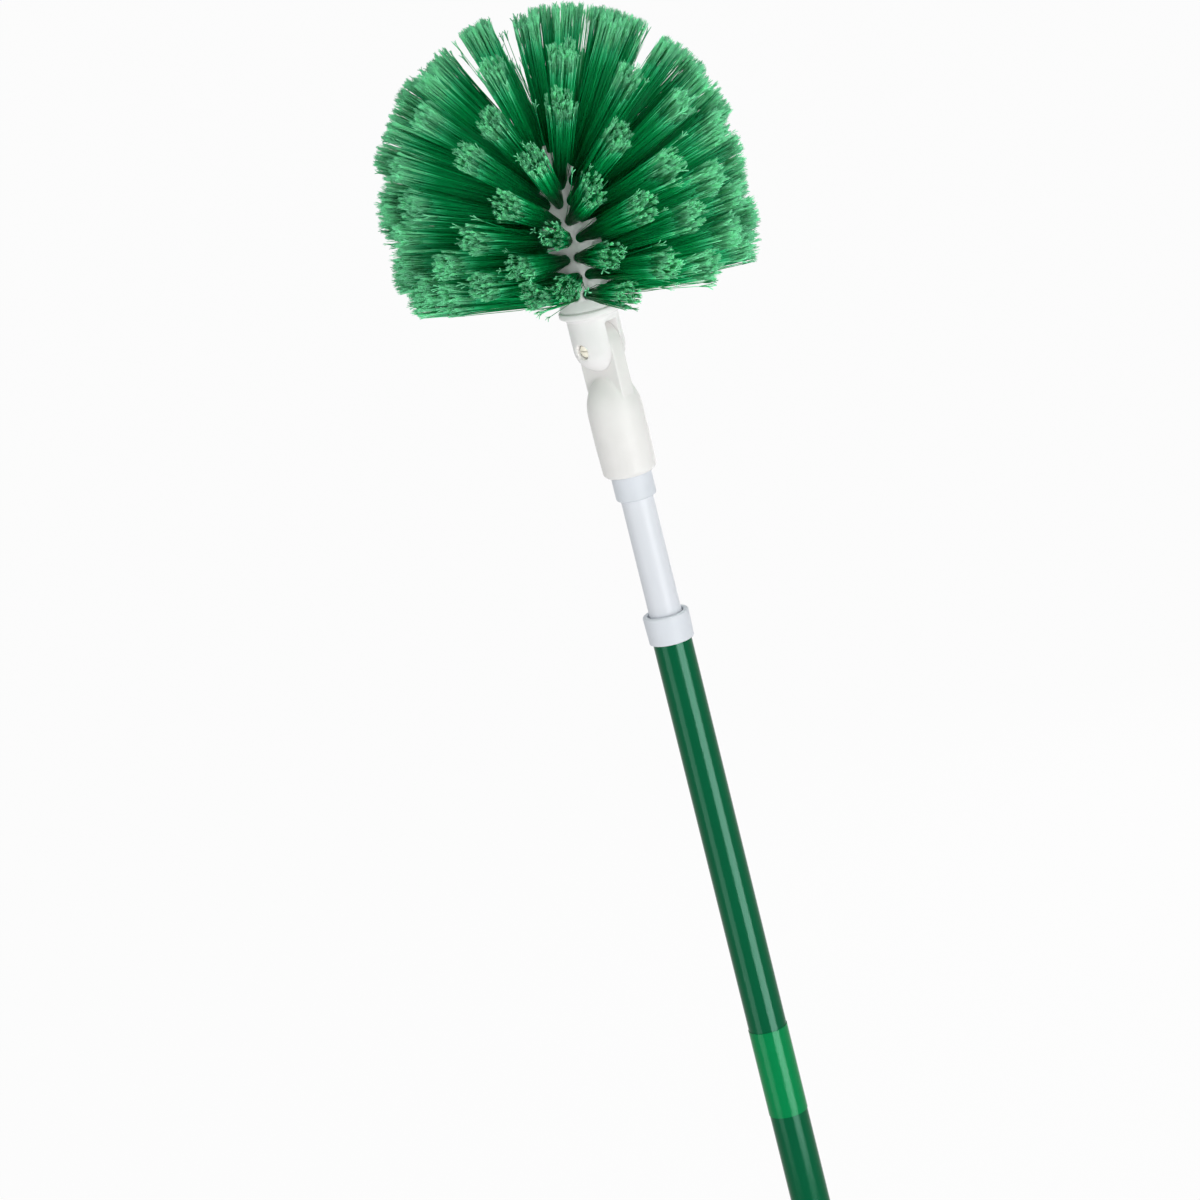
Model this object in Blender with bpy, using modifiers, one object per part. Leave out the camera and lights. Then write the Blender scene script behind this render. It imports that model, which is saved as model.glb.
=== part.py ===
# Split tip duster: a domed brush head on a tilting knuckle, screwed to a twist-lock telescopic handle.
# Units are metres. +Z runs up the handle, the origin is the middle of the end cap's foot,
# and the knuckle tilts about X. The handle is drawn a little way out, as it is held in use.

import math

import bmesh
import bpy
from mathutils import Matrix, Vector

# Clearances
SEAT_GAP = 0.0003
RUNNING_GAP = 0.0003
CUT_OVERRUN = 0.002
MERGE_DISTANCE = 0.00001
# A rounded edge takes at most this much of the wall it stands on.
ROUND_WALL_SHARE = 0.9

# Outer tube, with its end cap, label and collar
OUTER_TUBE_RADIUS = 0.0111
OUTER_TUBE_WALL = 0.0006
OUTER_TUBE_LENGTH = 0.760
CAP_WALL = 0.0013
CAP_FOOT_RADIUS = 0.0075
CAP_ROUND_HEIGHT = 0.007
CAP_EYE_HEIGHT = 0.024
CAP_SLEEVE_HEIGHT = 0.026
CAP_PLUG_HEIGHT = 0.012
HANG_HOLE_RADIUS = 0.0045
HANG_HOLE_HEIGHT = 0.0125
COLLAR_WALL = 0.0018
COLLAR_LIP_HEIGHT = 0.0045
COLLAR_SKIRT_HEIGHT = 0.0115
COLLAR_TAPER = 0.0004
COLLAR_ROUND = 0.0012
COLLAR_MOUTH_GAP = 0.0011
GUIDE_HEIGHT = 0.018
LABEL_HEIGHT = 0.053
LABEL_DROP = 0.2377
LABEL_THICKNESS = 0.0002
LABEL_GAP = 0.0001

# Inner tube, with the twist lock in its lower end and the threaded tip on its upper end
TUBE_ROOM = 0.00125
INNER_TUBE_WALL = 0.0006
# Room left over the end cap's plug when the handle is pushed right in.
RETRACTED_ROOM = 0.0336
EXPOSED_LENGTH = 0.0684
PLUG_STEM_HEIGHT = 0.020
PLUG_FLANGE_HEIGHT = 0.002
SPINDLE_RADIUS = 0.0055
SPINDLE_HEIGHT = 0.012
SPINDLE_OFFSET = 0.0008
LOCK_SLOT_WIDTH = 0.003
LOCK_WASHER_RADIUS = 0.0085
LOCK_WASHER_HEIGHT = 0.0016
LOCK_SCREW_RADIUS = 0.0015
LOCK_SCREW_HEAD_RADIUS = 0.003
LOCK_SCREW_HEAD_HEIGHT = 0.0015
LOCK_SCREW_LENGTH = 0.012
FERRULE_WALL = 0.00195
FERRULE_SHOWN = 0.0143
FERRULE_HIDDEN = 0.007
FERRULE_ROUND = 0.0014
TUBE_SEAT_DEPTH = 0.0185
SPIGOT_DEPTH = 0.024
THREAD_CREST_RADIUS = 0.0094
THREAD_DEPTH = 0.0015
THREAD_PITCH = 0.00508
THREAD_CREST_WIDTH = 0.0016
THREAD_ROOT_WIDTH = 0.0030
THREAD_LENGTH = 0.026

# Lower half of the knuckle: the threaded socket and its tongue
SOCKET_FOOT_RADIUS = 0.0152
SOCKET_RADIUS = 0.0156
SOCKET_ROUND = 0.003
SOCKET_TAPER_HEIGHT = 0.020
SOCKET_HEIGHT = 0.0356
SHOULDER_HEIGHT = 0.0225
TONGUE_THICKNESS = 0.009
TONGUE_HALF_WIDTH = 0.0139
PIVOT_RISE = 0.0164

# Upper half of the knuckle: the fork, its pivot screw and nut
FORK_RADIUS = 0.0146
SLOT_RISE = 0.0154
FORK_WEB = 0.0036
FORK_RECESS = 0.0037
RIM_RADIUS = 0.018
RIM_HEIGHT = 0.003
RIM_FLARE_HEIGHT = 0.0027
RIM_ROUND = 0.0012
WASHER_THICKNESS = 0.0006
WASHER_RADIUS = 0.009
PIVOT_SHANK_RADIUS = 0.0025
PIVOT_HEAD_RADIUS = 0.0041
PIVOT_HEAD_HEIGHT = 0.0026
HEAD_CROWN_SHARE = 0.8
PIVOT_SEAT_DEPTH = 0.0032
DRIVE_SLOT_WIDTH = 0.0009
DRIVE_SLOT_DEPTH = 0.0012
NUT_WIDTH = 0.008
NUT_THICKNESS = 0.004

# Brush block
BLOCK_RADIUS = 0.015
BLOCK_STRAIGHT = 0.077
BLOCK_FOOT_RADIUS = 0.0165
BLOCK_FOOT_HEIGHT = 0.0016
BLOCK_NECK_HEIGHT = 0.0045
STEM_RADIUS = 0.0115
STEM_SCREW_RADIUS = 0.0019
STEM_SCREW_HEAD_RADIUS = 0.0036
STEM_SCREW_HEAD_HEIGHT = 0.0018
STEM_SCREW_LENGTH = 0.020

# Tufts: rows of them round the block, each a bundle of four strands in a slice of the backing
FIRST_ROW_HEIGHT = 0.009
ROW_PITCH = 0.0105
SLICE_WIDTH = 0.006
SLICE_DEPTH = 0.0045
# A face belongs to the slice's outer side where its normal runs at least this much along the block's.
FACE_MATCH_SHARE = 0.9
STRAND_INSET_SHARE = 0.22
STRAND_FLARE_SHARE = 1.9
TUFT_SPREAD = 0.0048
TRIM_RADIUS = 0.103
TRIM_CROWN_HEIGHT = 0.1005
TRIM_CENTRE_DROP = 0.005
# One entry a row, lowest first: the lean of its tufts above level, their number,
# and the turn of the first one from -Y towards +X, both angles in degrees.
TUFT_ROWS = (
    (8.5, 12, 0.0),
    (7.0, 12, 15.0),
    (10.0, 12, 0.0),
    (13.0, 12, 15.0),
    (17.5, 12, 0.0),
    (24.0, 12, 15.0),
    (38.0, 12, 0.0),
    (52.0, 10, 11.0),
    (67.5, 5, -34.0),
)

# Facets
TURN_STEPS = 32
SMALL_STEPS = 20
BLOCK_STEPS = 24
THREAD_STEPS = 16
SCREW_STEPS = 16
PILOT_STEPS = 12

# Radii that fit one inside another
OUTER_BORE = OUTER_TUBE_RADIUS - OUTER_TUBE_WALL
INNER_TUBE_RADIUS = OUTER_BORE - TUBE_ROOM
INNER_BORE = INNER_TUBE_RADIUS - INNER_TUBE_WALL
CAP_RADIUS = OUTER_TUBE_RADIUS + SEAT_GAP + CAP_WALL
COLLAR_RADIUS = OUTER_TUBE_RADIUS + SEAT_GAP + COLLAR_WALL
FERRULE_RADIUS = INNER_TUBE_RADIUS + SEAT_GAP + FERRULE_WALL
LOCK_RING_RADIUS = OUTER_BORE - RUNNING_GAP
LOCK_RING_BORE = SPINDLE_RADIUS + SPINDLE_OFFSET + RUNNING_GAP
THREAD_ROOT_RADIUS = THREAD_CREST_RADIUS - THREAD_DEPTH
STEM_BORE = STEM_RADIUS + SEAT_GAP
PIVOT_HOLE = PIVOT_SHANK_RADIUS + RUNNING_GAP

# Heights, from the foot of the end cap upwards
OUTER_TUBE_FOOT = CAP_EYE_HEIGHT + SEAT_GAP
OUTER_TUBE_TOP = OUTER_TUBE_FOOT + OUTER_TUBE_LENGTH
COLLAR_FOOT = OUTER_TUBE_TOP - COLLAR_SKIRT_HEIGHT
COLLAR_SHELF = OUTER_TUBE_TOP + SEAT_GAP
COLLAR_TOP = COLLAR_SHELF + COLLAR_LIP_HEIGHT
LOCK_DROP = PLUG_FLANGE_HEIGHT + SPINDLE_HEIGHT + LOCK_WASHER_HEIGHT + LOCK_SCREW_HEAD_HEIGHT + 3 * SEAT_GAP
RETRACTED_FOOT = CAP_EYE_HEIGHT + CAP_PLUG_HEIGHT + RETRACTED_ROOM + LOCK_DROP
INNER_TUBE_LENGTH = COLLAR_TOP + TUBE_SEAT_DEPTH - RETRACTED_FOOT
FERRULE_FOOT = COLLAR_TOP + EXPOSED_LENGTH
INNER_TUBE_TOP = FERRULE_FOOT + TUBE_SEAT_DEPTH
INNER_TUBE_FOOT = INNER_TUBE_TOP - INNER_TUBE_LENGTH
SOCKET_FOOT = FERRULE_FOOT + FERRULE_SHOWN
FERRULE_TOP = SOCKET_FOOT + FERRULE_HIDDEN
THREAD_TOP = FERRULE_TOP + THREAD_LENGTH
SHOULDER_FOOT = SOCKET_FOOT + SOCKET_HEIGHT
SHOULDER_TOP = SHOULDER_FOOT + SHOULDER_HEIGHT
PIVOT_HEIGHT = SHOULDER_TOP + PIVOT_RISE
SLOT_TOP = PIVOT_HEIGHT + SLOT_RISE
RECESS_FLOOR = SLOT_TOP + FORK_WEB
FORK_TOP = RECESS_FLOOR + FORK_RECESS
BLOCK_FOOT = FORK_TOP + SEAT_GAP
NOSE_CENTRE = BLOCK_FOOT + BLOCK_STRAIGHT
TRIM_CENTRE = NOSE_CENTRE - TRIM_CENTRE_DROP

# Places along the pivot, from the middle of the tongue outwards
TONGUE_FACE = TONGUE_THICKNESS / 2
WASHER_INSIDE = TONGUE_FACE + RUNNING_GAP
WASHER_OUTSIDE = WASHER_INSIDE + WASHER_THICKNESS
LUG_FACE = WASHER_OUTSIDE + SEAT_GAP
PIVOT_SEAT = LUG_FACE + PIVOT_SEAT_DEPTH


def clear_scene():
    for obj in list(bpy.data.objects):
        bpy.data.objects.remove(obj, do_unlink=True)


def new_collection(name):
    collection = bpy.data.collections.new(name)
    bpy.context.scene.collection.children.link(collection)
    return collection


def new_material(name, colour, roughness, metallic=0.0):
    material = bpy.data.materials.new(name)
    material.use_nodes = True
    shader = material.node_tree.nodes["Principled BSDF"]
    shader.inputs["Base Color"].default_value = (*colour, 1.0)
    shader.inputs["Roughness"].default_value = roughness
    shader.inputs["Metallic"].default_value = metallic
    return material


clear_scene()
PARTS = new_collection("split_tip_duster")
CUTTERS = new_collection("cutters")

WARM_WHITE = new_material("polypropylene_warm_white", (0.86, 0.85, 0.82), 0.35)
COOL_WHITE = new_material("abs_cool_white", (0.80, 0.84, 0.89), 0.35)
WHITE_PAINT = new_material("white_painted_steel", (0.80, 0.84, 0.89), 0.30, 0.1)
GREEN_PAINT = new_material("green_painted_steel", (0.0, 0.12, 0.045), 0.25, 0.1)
LABEL_FILM = new_material("green_label_film", (0.0, 0.22, 0.07), 0.30)
CAP_PLASTIC = new_material("white_cap_plastic", (0.80, 0.84, 0.89), 0.40)
BRISTLE = new_material("green_polypropylene_bristle", (0.01, 0.25, 0.08), 0.50)
LOCK_PLASTIC = new_material("grey_acetal", (0.35, 0.36, 0.38), 0.45)
ZINC = new_material("zinc_plated_steel", (0.60, 0.61, 0.63), 0.30, 1.0)


def smooth(obj):
    obj.data.shade_smooth()
    obj.data.set_sharp_from_angle(angle=math.radians(35))
    return obj


def place(obj, name, material, collection=None):
    """Names the object, gives it its material and puts it in its collection."""
    obj.name = name
    obj.data.name = name
    for old in list(obj.users_collection):
        old.objects.unlink(obj)
    (collection or PARTS).objects.link(obj)
    if material:
        obj.data.materials.append(material)
    return obj


def as_cutter(obj):
    obj.hide_render = True
    obj.display_type = "WIRE"
    return obj


def turned(name, profile, material, steps=TURN_STEPS, collection=None):
    """A turned shape. The profile runs down its outer side, and closes unless both ends are on the axis."""
    on_axis = profile[0][0] == 0 and profile[-1][0] == 0
    count = len(profile)
    links = [(i, i + 1) for i in range(count - 1)]
    if not on_axis:
        links.append((count - 1, 0))
    mesh = bpy.data.meshes.new(name)
    mesh.from_pydata([(r, 0, z) for r, z in profile], links, [])
    obj = place(bpy.data.objects.new(name, mesh), name, material, collection)
    screw = obj.modifiers.new("Turn", "SCREW")
    screw.axis = "Z"
    screw.steps = steps
    screw.render_steps = steps
    screw.use_merge_vertices = True
    screw.merge_threshold = MERGE_DISTANCE
    screw.use_smooth_shade = True
    return obj


def flat_outline(name, points, thickness, material, collection=None):
    """A flat outline in Y and Z, extruded along X to both sides of the middle plane."""
    curve = bpy.data.curves.new(name, "CURVE")
    curve.dimensions = "2D"
    curve.fill_mode = "BOTH"
    curve.extrude = thickness / 2
    spline = curve.splines.new("POLY")
    spline.points.add(len(points) - 1)
    for point, (y, z) in zip(spline.points, points):
        point.co = (y, z, 0, 1)
    spline.use_cyclic_u = True
    obj = bpy.data.objects.new(name, curve)
    PARTS.objects.link(obj)
    # The curve's plane turns so that its X is the part's Y and its Y is the part's Z.
    obj.matrix_world = Matrix(((0, 0, 1, 0), (1, 0, 0, 0), (0, 1, 0, 0), (0, 0, 0, 1)))
    return as_mesh(obj, name, material, collection)


def as_mesh(obj, name, material, collection=None):
    """The evaluated shape of an object as a plain closed mesh, which replaces the object."""
    bpy.context.view_layer.update()
    graph = bpy.context.evaluated_depsgraph_get()
    mesh = bpy.data.meshes.new_from_object(obj.evaluated_get(graph))
    matrix = obj.matrix_world.copy()
    bpy.data.objects.remove(obj, do_unlink=True)
    weld = bmesh.new()
    weld.from_mesh(mesh)
    bmesh.ops.remove_doubles(weld, verts=weld.verts, dist=MERGE_DISTANCE)
    bmesh.ops.recalc_face_normals(weld, faces=weld.faces)
    weld.to_mesh(mesh)
    weld.free()
    mesh.materials.clear()
    made = bpy.data.objects.new(name, mesh)
    made.matrix_world = matrix
    return place(made, name, material, collection)


def cylinder(name, radius, start, end, steps=SMALL_STEPS, material=None, collection=None):
    """A cylinder between two points."""
    start, end = Vector(start), Vector(end)
    along = end - start
    bpy.ops.mesh.primitive_cylinder_add(
        vertices=steps,
        radius=radius,
        depth=along.length,
        location=(start + end) / 2,
        rotation=along.to_track_quat("Z", "Y").to_euler(),
    )
    return smooth(place(bpy.context.object, name, material, collection))


def box(name, low, high, material=None, collection=None):
    """A box between its lowest and highest corners."""
    low, high = Vector(low), Vector(high)
    bpy.ops.mesh.primitive_cube_add(size=1, location=(low + high) / 2)
    obj = bpy.context.object
    obj.scale = high - low
    bpy.ops.object.transform_apply(location=False, rotation=False, scale=True)
    return place(obj, name, material, collection)


def ride(obj, carrier):
    """Parents an object to the one that carries it, and leaves it where it stands."""
    bpy.context.view_layer.update()
    obj.parent = carrier
    obj.matrix_parent_inverse = carrier.matrix_world.inverted()


def combine(obj, other, operation):
    ride(other, obj)
    step = obj.modifiers.new(other.name, "BOOLEAN")
    step.operation = operation
    step.object = as_cutter(other)
    return obj


def cut(obj, cutter):
    return combine(obj, cutter, "DIFFERENCE")


def cut_cylinder(obj, name, radius, start, end, steps=SMALL_STEPS):
    return cut(obj, cylinder(name, radius, start, end, steps, collection=CUTTERS))


def cut_box(obj, name, low, high):
    return cut(obj, box(name, low, high, collection=CUTTERS))


def round_corner(corner, radius, start_degrees, end_degrees, count=4):
    """Points of a rounded corner: an arc about the point that lies inside the corner."""
    points = []
    for i in range(count + 1):
        angle = math.radians(start_degrees + (end_degrees - start_degrees) * i / count)
        points.append((corner[0] + radius * math.cos(angle), corner[1] + radius * math.sin(angle)))
    return points


def make_end_cap():
    """Hanging cap: a sleeve and a plug either side of the tube's wall, over a foot with a hole for a hook."""
    bore = OUTER_TUBE_RADIUS + SEAT_GAP
    plug = OUTER_BORE - SEAT_GAP
    sleeve_top = CAP_EYE_HEIGHT + CAP_SLEEVE_HEIGHT
    foot = []
    for i in range(6):
        turn = math.radians(90 * i / 5)
        radius = CAP_FOOT_RADIUS + (CAP_RADIUS - CAP_FOOT_RADIUS) * math.cos(turn)
        foot.append((radius, CAP_ROUND_HEIGHT * (1 - math.sin(turn))))
    profile = [
        (0, CAP_EYE_HEIGHT + CAP_PLUG_HEIGHT),
        (plug, CAP_EYE_HEIGHT + CAP_PLUG_HEIGHT),
        (plug, CAP_EYE_HEIGHT),
        (bore, CAP_EYE_HEIGHT),
        (bore, sleeve_top),
        (CAP_RADIUS, sleeve_top),
        *foot,
        (0, 0),
    ]
    cap = turned("end_cap", profile, CAP_PLASTIC)
    reach = CAP_RADIUS + CUT_OVERRUN
    cut_cylinder(
        cap, "hang_hole", HANG_HOLE_RADIUS, (-reach, 0, HANG_HOLE_HEIGHT), (reach, 0, HANG_HOLE_HEIGHT)
    )
    return cap


def make_tube(name, radius, bore, foot, top, material):
    return turned(name, [(radius, top), (radius, foot), (bore, foot), (bore, top)], material)


def make_label():
    inside = OUTER_TUBE_RADIUS + LABEL_GAP
    top = COLLAR_FOOT - LABEL_DROP
    return make_tube("label_band", inside + LABEL_THICKNESS, inside, top - LABEL_HEIGHT, top, LABEL_FILM)


def make_collar():
    """Collar on the outer tube's mouth: a skirt outside it, and a guide sleeve between the tubes."""
    mouth = INNER_TUBE_RADIUS + COLLAR_MOUTH_GAP
    guide_bore = INNER_TUBE_RADIUS + RUNNING_GAP
    guide = OUTER_BORE - SEAT_GAP
    skirt_bore = OUTER_TUBE_RADIUS + SEAT_GAP
    guide_foot = OUTER_TUBE_TOP - GUIDE_HEIGHT
    edge = min(COLLAR_ROUND, ROUND_WALL_SHARE * (COLLAR_RADIUS - mouth), ROUND_WALL_SHARE * COLLAR_LIP_HEIGHT)
    corner = (COLLAR_RADIUS - edge, COLLAR_TOP - edge)
    profile = [
        (mouth, COLLAR_TOP),
        *round_corner(corner, edge, 90, 0, 3),
        (COLLAR_RADIUS - COLLAR_TAPER, COLLAR_FOOT),
        (skirt_bore, COLLAR_FOOT),
        (skirt_bore, COLLAR_SHELF),
        (guide, COLLAR_SHELF),
        (guide, guide_foot),
        (guide_bore, guide_foot),
        (guide_bore, COLLAR_SHELF),
    ]
    return turned("outer_collar", profile, COOL_WHITE)


def make_lock():
    """Twist lock in the inner tube's foot: an off-centre spindle in a split ring that grips the tube."""
    flange_top = INNER_TUBE_FOOT - SEAT_GAP
    spindle_top = flange_top - PLUG_FLANGE_HEIGHT
    spindle_foot = spindle_top - SPINDLE_HEIGHT
    stem = INNER_BORE - SEAT_GAP
    profile = [
        (0, INNER_TUBE_FOOT + PLUG_STEM_HEIGHT),
        (stem, INNER_TUBE_FOOT + PLUG_STEM_HEIGHT),
        (stem, flange_top),
        (INNER_TUBE_RADIUS, flange_top),
        (INNER_TUBE_RADIUS, spindle_top),
        (0, spindle_top),
    ]
    plug = turned("lock_plug", profile, LOCK_PLASTIC, SMALL_STEPS)
    centre = Vector((SPINDLE_OFFSET, 0, 0))
    inside_flange = spindle_top + PLUG_FLANGE_HEIGHT / 2
    spindle = cylinder(
        "lock_spindle",
        SPINDLE_RADIUS,
        centre + Vector((0, 0, spindle_foot)),
        centre + Vector((0, 0, inside_flange)),
        collection=CUTTERS,
    )
    combine(plug, spindle, "UNION")
    pilot_top = spindle_foot - SEAT_GAP + LOCK_SCREW_LENGTH
    cut_cylinder(
        plug,
        "lock_pilot_hole",
        LOCK_SCREW_RADIUS + SEAT_GAP,
        centre + Vector((0, 0, spindle_foot - CUT_OVERRUN)),
        centre + Vector((0, 0, pilot_top)),
        PILOT_STEPS,
    )

    ring_top = spindle_top - RUNNING_GAP
    ring_foot = spindle_foot + RUNNING_GAP
    ring = make_tube("lock_ring", LOCK_RING_RADIUS, LOCK_RING_BORE, ring_foot, ring_top, LOCK_PLASTIC)
    cut_box(
        ring,
        "lock_ring_slot",
        (0, -LOCK_SLOT_WIDTH / 2, ring_foot - CUT_OVERRUN),
        (LOCK_RING_RADIUS + CUT_OVERRUN, LOCK_SLOT_WIDTH / 2, ring_top + CUT_OVERRUN),
    )

    washer_top = spindle_foot - SEAT_GAP
    washer_foot = washer_top - LOCK_WASHER_HEIGHT
    washer = cylinder(
        "lock_washer",
        LOCK_WASHER_RADIUS,
        centre + Vector((0, 0, washer_foot)),
        centre + Vector((0, 0, washer_top)),
        material=LOCK_PLASTIC,
    )
    cut_cylinder(
        washer,
        "lock_washer_hole",
        LOCK_SCREW_RADIUS + SEAT_GAP,
        centre + Vector((0, 0, washer_foot - CUT_OVERRUN)),
        centre + Vector((0, 0, washer_top + CUT_OVERRUN)),
        PILOT_STEPS,
    )
    screw = pan_screw(
        "lock_screw", LOCK_SCREW_RADIUS, LOCK_SCREW_HEAD_RADIUS, LOCK_SCREW_HEAD_HEIGHT, LOCK_SCREW_LENGTH
    )
    screw.location = centre + Vector((0, 0, washer_foot - SEAT_GAP))


def pan_screw(name, shank, head, head_height, length):
    """A pan head screw that points up, with the underside of its head at z 0 and a slot across the head."""
    profile = [
        (0, length),
        (shank / 2, length),
        (shank, length - shank),
        (shank, 0),
        (head, 0),
        (head, -head_height / 2),
        (head * HEAD_CROWN_SHARE, -head_height),
        (0, -head_height),
    ]
    screw = turned(name, profile, ZINC, SCREW_STEPS)
    slot = box(
        name + "_slot",
        (-head - CUT_OVERRUN, -DRIVE_SLOT_WIDTH / 2, -head_height - CUT_OVERRUN),
        (head + CUT_OVERRUN, DRIVE_SLOT_WIDTH / 2, DRIVE_SLOT_DEPTH / 2 - head_height),
        collection=CUTTERS,
    )
    return cut(screw, slot)


def thread_ridge(name, root_radius, grow, length):
    """A right-hand thread's ridge as one closed coil, its root sunk a little into the core it stands on."""
    turns = length / THREAD_PITCH
    steps = math.ceil(turns * THREAD_STEPS)
    root = THREAD_ROOT_WIDTH / 2 + grow
    crest = THREAD_CREST_WIDTH / 2 + grow
    inside = root_radius - THREAD_DEPTH / 2
    outside = THREAD_CREST_RADIUS + grow
    section = [(inside, -root), (outside, -crest), (outside, crest), (inside, root)]
    shape = bmesh.new()
    corners = [shape.verts.new((r, 0, z)) for r, z in section]
    face = shape.faces.new(corners)
    bmesh.ops.spin(
        shape,
        geom=[face, *face.edges, *face.verts],
        cent=(0, 0, 0),
        axis=(0, 0, 1),
        dvec=(0, 0, length / steps),
        angle=math.tau * turns,
        steps=steps,
        use_duplicate=False,
    )
    bmesh.ops.recalc_face_normals(shape, faces=shape.faces)
    mesh = bpy.data.meshes.new(name)
    shape.to_mesh(mesh)
    shape.free()
    return place(bpy.data.objects.new(name, mesh), name, None, CUTTERS)


def make_threaded_tip():
    """Moulded tip on the inner tube: a ferrule outside, a spigot inside and a broom-handle thread on top."""
    seat_top = INNER_TUBE_TOP + SEAT_GAP
    seat_bore = INNER_TUBE_RADIUS + SEAT_GAP
    spigot = INNER_BORE - SEAT_GAP
    spigot_foot = seat_top - SPIGOT_DEPTH
    edge = min(FERRULE_ROUND, ROUND_WALL_SHARE * FERRULE_WALL)
    profile = [
        (0, THREAD_TOP),
        (THREAD_ROOT_RADIUS - THREAD_DEPTH, THREAD_TOP),
        (THREAD_ROOT_RADIUS, THREAD_TOP - THREAD_DEPTH),
        (THREAD_ROOT_RADIUS, FERRULE_TOP),
        (FERRULE_RADIUS - edge, FERRULE_TOP),
        (FERRULE_RADIUS, FERRULE_TOP - edge),
        (FERRULE_RADIUS, FERRULE_FOOT + edge),
        (FERRULE_RADIUS - edge, FERRULE_FOOT),
        (seat_bore, FERRULE_FOOT),
        (seat_bore, seat_top),
        (spigot, seat_top),
        (spigot, spigot_foot),
        (0, spigot_foot),
    ]
    tip = turned("threaded_tip", profile, COOL_WHITE)
    run = THREAD_LENGTH - THREAD_DEPTH - THREAD_ROOT_WIDTH - THREAD_PITCH / 2
    ridge = thread_ridge("thread_ridge", THREAD_ROOT_RADIUS, 0, run)
    ridge.location.z = FERRULE_TOP + THREAD_ROOT_WIDTH / 2 + THREAD_PITCH / 4
    return combine(tip, ridge, "UNION")


def make_socket():
    """Lower half of the knuckle: a socket that screws onto the tip, with a flat tongue for the pivot."""
    counterbore = FERRULE_RADIUS + SEAT_GAP
    counterbore_top = FERRULE_TOP + SEAT_GAP
    bore = THREAD_CREST_RADIUS + SEAT_GAP
    bore_top = THREAD_TOP + SEAT_GAP
    edge = min(SOCKET_ROUND, ROUND_WALL_SHARE * (SOCKET_FOOT_RADIUS - counterbore))
    foot_corner = (SOCKET_FOOT_RADIUS - edge, SOCKET_FOOT + edge)
    shoulder = []
    for i in range(9):
        turn = math.radians(90 * (1 - i / 8))
        shoulder.append((SOCKET_RADIUS * math.cos(turn), SHOULDER_FOOT + SHOULDER_HEIGHT * math.sin(turn)))
    shoulder[0] = (0, SHOULDER_TOP)
    profile = [
        *shoulder,
        (SOCKET_RADIUS, SOCKET_FOOT + SOCKET_TAPER_HEIGHT),
        *round_corner(foot_corner, edge, 0, -90),
        (counterbore, SOCKET_FOOT),
        (counterbore, counterbore_top),
        (bore, counterbore_top),
        (bore, bore_top),
        (0, bore_top),
    ]
    socket = turned("handle_socket", profile, WARM_WHITE)
    outline = [(-TONGUE_HALF_WIDTH, SHOULDER_FOOT), (TONGUE_HALF_WIDTH, SHOULDER_FOOT)]
    outline += round_corner((0, PIVOT_HEIGHT), TONGUE_HALF_WIDTH, 0, 180, 16)
    tongue = flat_outline("tongue", outline, TONGUE_THICKNESS, None, CUTTERS)
    combine(socket, tongue, "UNION")
    reach = TONGUE_FACE + CUT_OVERRUN
    return cut_cylinder(
        socket, "tongue_hole", PIVOT_HOLE, (-reach, 0, PIVOT_HEIGHT), (reach, 0, PIVOT_HEIGHT)
    )


def make_fork():
    """Upper half of the knuckle: a slotted ball end round the tongue, below a flared rim with a recess."""
    rim_corner = (RIM_RADIUS - RIM_ROUND, FORK_TOP - RIM_ROUND)
    flare = []
    for i in range(5):
        share = i / 4
        ease = share * share * (3 - 2 * share)
        radius = RIM_RADIUS + (FORK_RADIUS - RIM_RADIUS) * ease
        flare.append((radius, FORK_TOP - RIM_HEIGHT - RIM_FLARE_HEIGHT * share))
    ball = round_corner((0, PIVOT_HEIGHT), FORK_RADIUS, 0, -90, 9)
    ball[-1] = (0, PIVOT_HEIGHT - FORK_RADIUS)
    profile = [
        (0, RECESS_FLOOR),
        (STEM_BORE, RECESS_FLOOR),
        (STEM_BORE, FORK_TOP),
        *round_corner(rim_corner, RIM_ROUND, 90, 0, 3),
        *flare,
        *ball,
    ]
    fork = turned("knuckle_fork", profile, WARM_WHITE)
    wide = RIM_RADIUS + CUT_OVERRUN
    slot_foot = PIVOT_HEIGHT - FORK_RADIUS - CUT_OVERRUN
    cut_box(fork, "fork_slot", (-LUG_FACE, -wide, slot_foot), (LUG_FACE, wide, SLOT_TOP))
    cut_cylinder(fork, "fork_pivot_hole", PIVOT_HOLE, (-wide, 0, PIVOT_HEIGHT), (wide, 0, PIVOT_HEIGHT))
    cut_cylinder(
        fork,
        "head_counterbore",
        PIVOT_HEAD_RADIUS + SEAT_GAP,
        (-wide, 0, PIVOT_HEIGHT),
        (-PIVOT_SEAT, 0, PIVOT_HEIGHT),
    )
    pocket_radius = (NUT_WIDTH / 2 + SEAT_GAP) / math.cos(math.pi / 6)
    cut_cylinder(fork, "nut_pocket", pocket_radius, (PIVOT_SEAT, 0, PIVOT_HEIGHT), (wide, 0, PIVOT_HEIGHT), 6)
    cut_cylinder(
        fork,
        "stem_screw_hole",
        STEM_SCREW_RADIUS + SEAT_GAP,
        (0, 0, SLOT_TOP - CUT_OVERRUN),
        (0, 0, RECESS_FLOOR + CUT_OVERRUN),
        SCREW_STEPS,
    )
    cut_cylinder(
        fork,
        "stem_screw_seat",
        STEM_SCREW_HEAD_RADIUS + SEAT_GAP,
        (0, 0, SLOT_TOP - CUT_OVERRUN),
        (0, 0, SLOT_TOP + STEM_SCREW_HEAD_HEIGHT + SEAT_GAP),
        SCREW_STEPS,
    )
    return fork


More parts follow.
